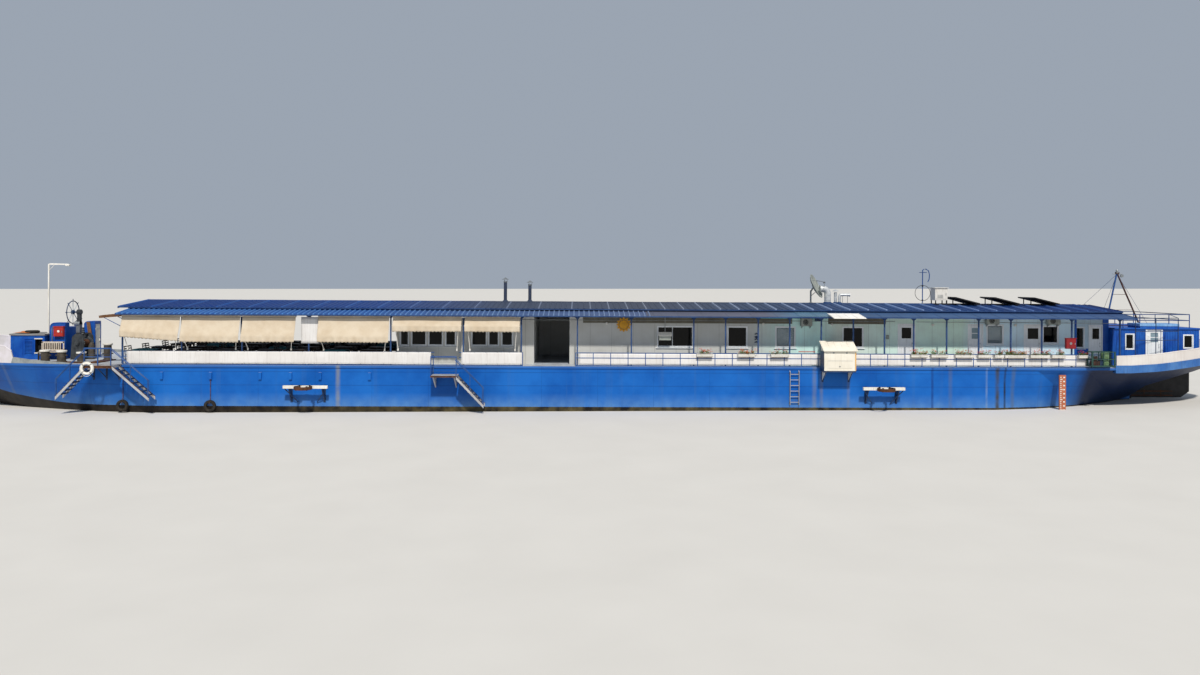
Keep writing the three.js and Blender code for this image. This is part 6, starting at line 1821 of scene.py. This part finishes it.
# %% Mast
coat(mast_brown, "mast")
MAST_TOP = (31.26, 0, 8.15)
mast = Form()
mast.tube([(30.60, 0, 5.12), (31.24, 0, 8.17)], 0.046, 12, 1)
mast.tube([(32.64, 0, 5.12), (31.28, 0, 8.17)], 0.046, 12)
for share in (0.3, 0.6):
    z = 5.12 + share * 3.05
    mast.tube([(30.60 + share * 0.64, 0, z), (32.64 - share * 1.36, 0, z)], 0.014, 6)
mast.turned([(0, 8.42), (0.05, 8.42), (0.07, 8.38), (0.07, 8.29), (0.045, 8.26), (0, 8.26)],
            (31.26, 0, 0), 2, 16, 3)
mast.collar((31.26, 0, 0), 2, 0.03, 0.09, 8.20, 8.26, 16, 3)
mast.tube([(31.0, 0, 8.16), (31.55, 0, 8.16)], 0.02, 8, 3)
mast.turned([(0, -0.10), (0.09, -0.09), (0.10, -0.04), (0.05, 0.0), (0, 0)], (31.52, 0, 8.05), 1, 16, 3)
for y in (-2.5, 2.5):
    mast.tube([MAST_TOP, (31.62, y, 5.13)], 0.009, 6, 2)
    mast.collar((31.62, y, 0), 2, 0.02, 0.05, 5.12, 5.10, 10, 3)
mast.tube([MAST_TOP, (29.3, 0, 6.36)], 0.009, 6, 2)
piece("mast_legs", mast, [mast_brown, rail_enamel, dark_rail, galvanised], edge=0.002)

# %% Tube frame along the bulwark
FRAME_X = (29.8, 31.05, 32.55)
FRAME_TOP = 5.70
feet = [between(rim("bulwark_stern", near), x) for x in FRAME_X]
frame_tubes = Form()
for x, y, z in feet:
    frame_tubes.tube([(x, y + 0.10, z - 0.55), (x, y + 0.10, FRAME_TOP)], 0.022, 8)
    for at in (z - 0.45, z - 0.08):
        frame_tubes.block((x - 0.035, x + 0.035), (y + 0.04, y + 0.115), (at, at + 0.035))
for level in (FRAME_TOP, 4.98, 4.49):
    frame_tubes.tube([(x, y + 0.10, level) for x, y, _ in feet], 0.019, 8)
for (x, y, _), rail_x in ((feet[0], 30.07), (feet[-1], 32.69)):
    frame_tubes.tube([(x, y + 0.1, FRAME_TOP), (rail_x, -2.6, 5.86)], 0.016, 6)
piece("cover_frame", frame_tubes, [dark_rail])

# %% Lobby corner and stern deck gear
corner = Form()
corner.blocks((26.93, 27.05, -3.26, -3.14, 3.0, 5.79), (29.12, 29.455, -2.235, -2.19, 3.0, 5.76),
              (27.08, 28.3, -2.215, -2.20, 3.0, 3.9))
piece("lobby_corner", corner, [house_enamel], edge=0.006)
posts = Form()
z = between(deck_line, 36.0)[2]
for y in (-1.9, 1.9):
    for x in (35.6, 36.2):
        posts.turned([(0.13, z), (0.13, z + 0.48), (0.17, z + 0.50), (0.17, z + 0.56), (0.12, z + 0.58),
                      (0, z + 0.58)], (x, y, 0), 2, 20)
    posts.block((35.35, 36.45), (y - 0.22, y + 0.22), (z - 0.01, z + 0.03), 1)
z = between(deck_line, 35.9)[2]
posts.turned([(0.5, z), (0.5, z + 0.10), (0.42, z + 0.16), (0, z + 0.18)], (35.9, 0, 0), 2, 24, 1)
posts.tube([(35.6, 0, z + 0.17), (35.62, 0, z + 0.24), (36.18, 0, z + 0.24), (36.2, 0, z + 0.17)], 0.014, 6)
piece("stern_bollards", posts, [bollard_paint, rusty_plate], edge=0.004)

# %% Rudder
coat(black_paint, "rudder")
blade = Form()
for side in (near, far):
    for z in (1.0, 1.25):
        blade.block((32.1, 34.6), (side * 0.034, side * 0.05), (z - 0.03, z + 0.03))
    for x in (32.9, 33.9):
        blade.block((x - 0.02, x + 0.02), (side * 0.034, side * 0.046), (0.9, 1.35))
piece("rudder_stiffeners", blade, [rusty_plate], body="rudder", edge=0.004)

# %% [markdown]
# ## Floor, world and light
# The barge is shown in its water trim: a plain pale floor lies where the water would, so the bottom and the
# rudder reach below it. A broad, high sun stands behind the camera and a little to its right, and a pale even
# sky fills the shadows.

# %% Floor
ground = Finish("pale studio floor")
grain = ground.mix(ground.noise(2500, 4), "c9c7c2", "d2d0cb")
floor_paint = ground.shade({"Base Color": grain, "Roughness": 0.85})
FLOOR_REACH = 400
WATER = DRAFT * SCALE
corners = [(x, y, WATER + TRIM * x) for x, y in circle(4, FLOOR_REACH * math.sqrt(2), math.pi / 4)]
floor_mesh = bpy.data.meshes.new("floor")
floor_mesh.from_pydata(corners, [], [(0, 1, 2, 3)])
floor_mesh.materials.append(floor_paint)
floor = bpy.data.objects.new("floor", floor_mesh)
bpy.context.scene.collection.objects.link(floor)
floor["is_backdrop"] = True

# %% World and sun
world = bpy.data.worlds.new("pale sky")
bpy.context.scene.world = world
world.use_nodes = True
sky = world.node_tree.nodes["Background"]
sky.inputs["Color"].default_value = linear("c3cfdf")
sky.inputs["Strength"].default_value = 0.6
sun_data = bpy.data.lights.new("sun", "SUN")
sun_data.energy = 3.6
sun_data.color = linear("fff8ee")[:3]
sun_data.angle = math.radians(3)
sun = bpy.data.objects.new("sun", sun_data)
bpy.context.scene.collection.objects.link(sun)
sun.matrix_world = Vector((0.13, -1, 1.18)).to_track_quat("Z", "Y").to_matrix().to_4x4()
bpy.context.scene.view_settings.view_transform = "Standard"

low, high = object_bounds()
print("visual box", [round(b - a, 3) for a, b in zip(low, high)])
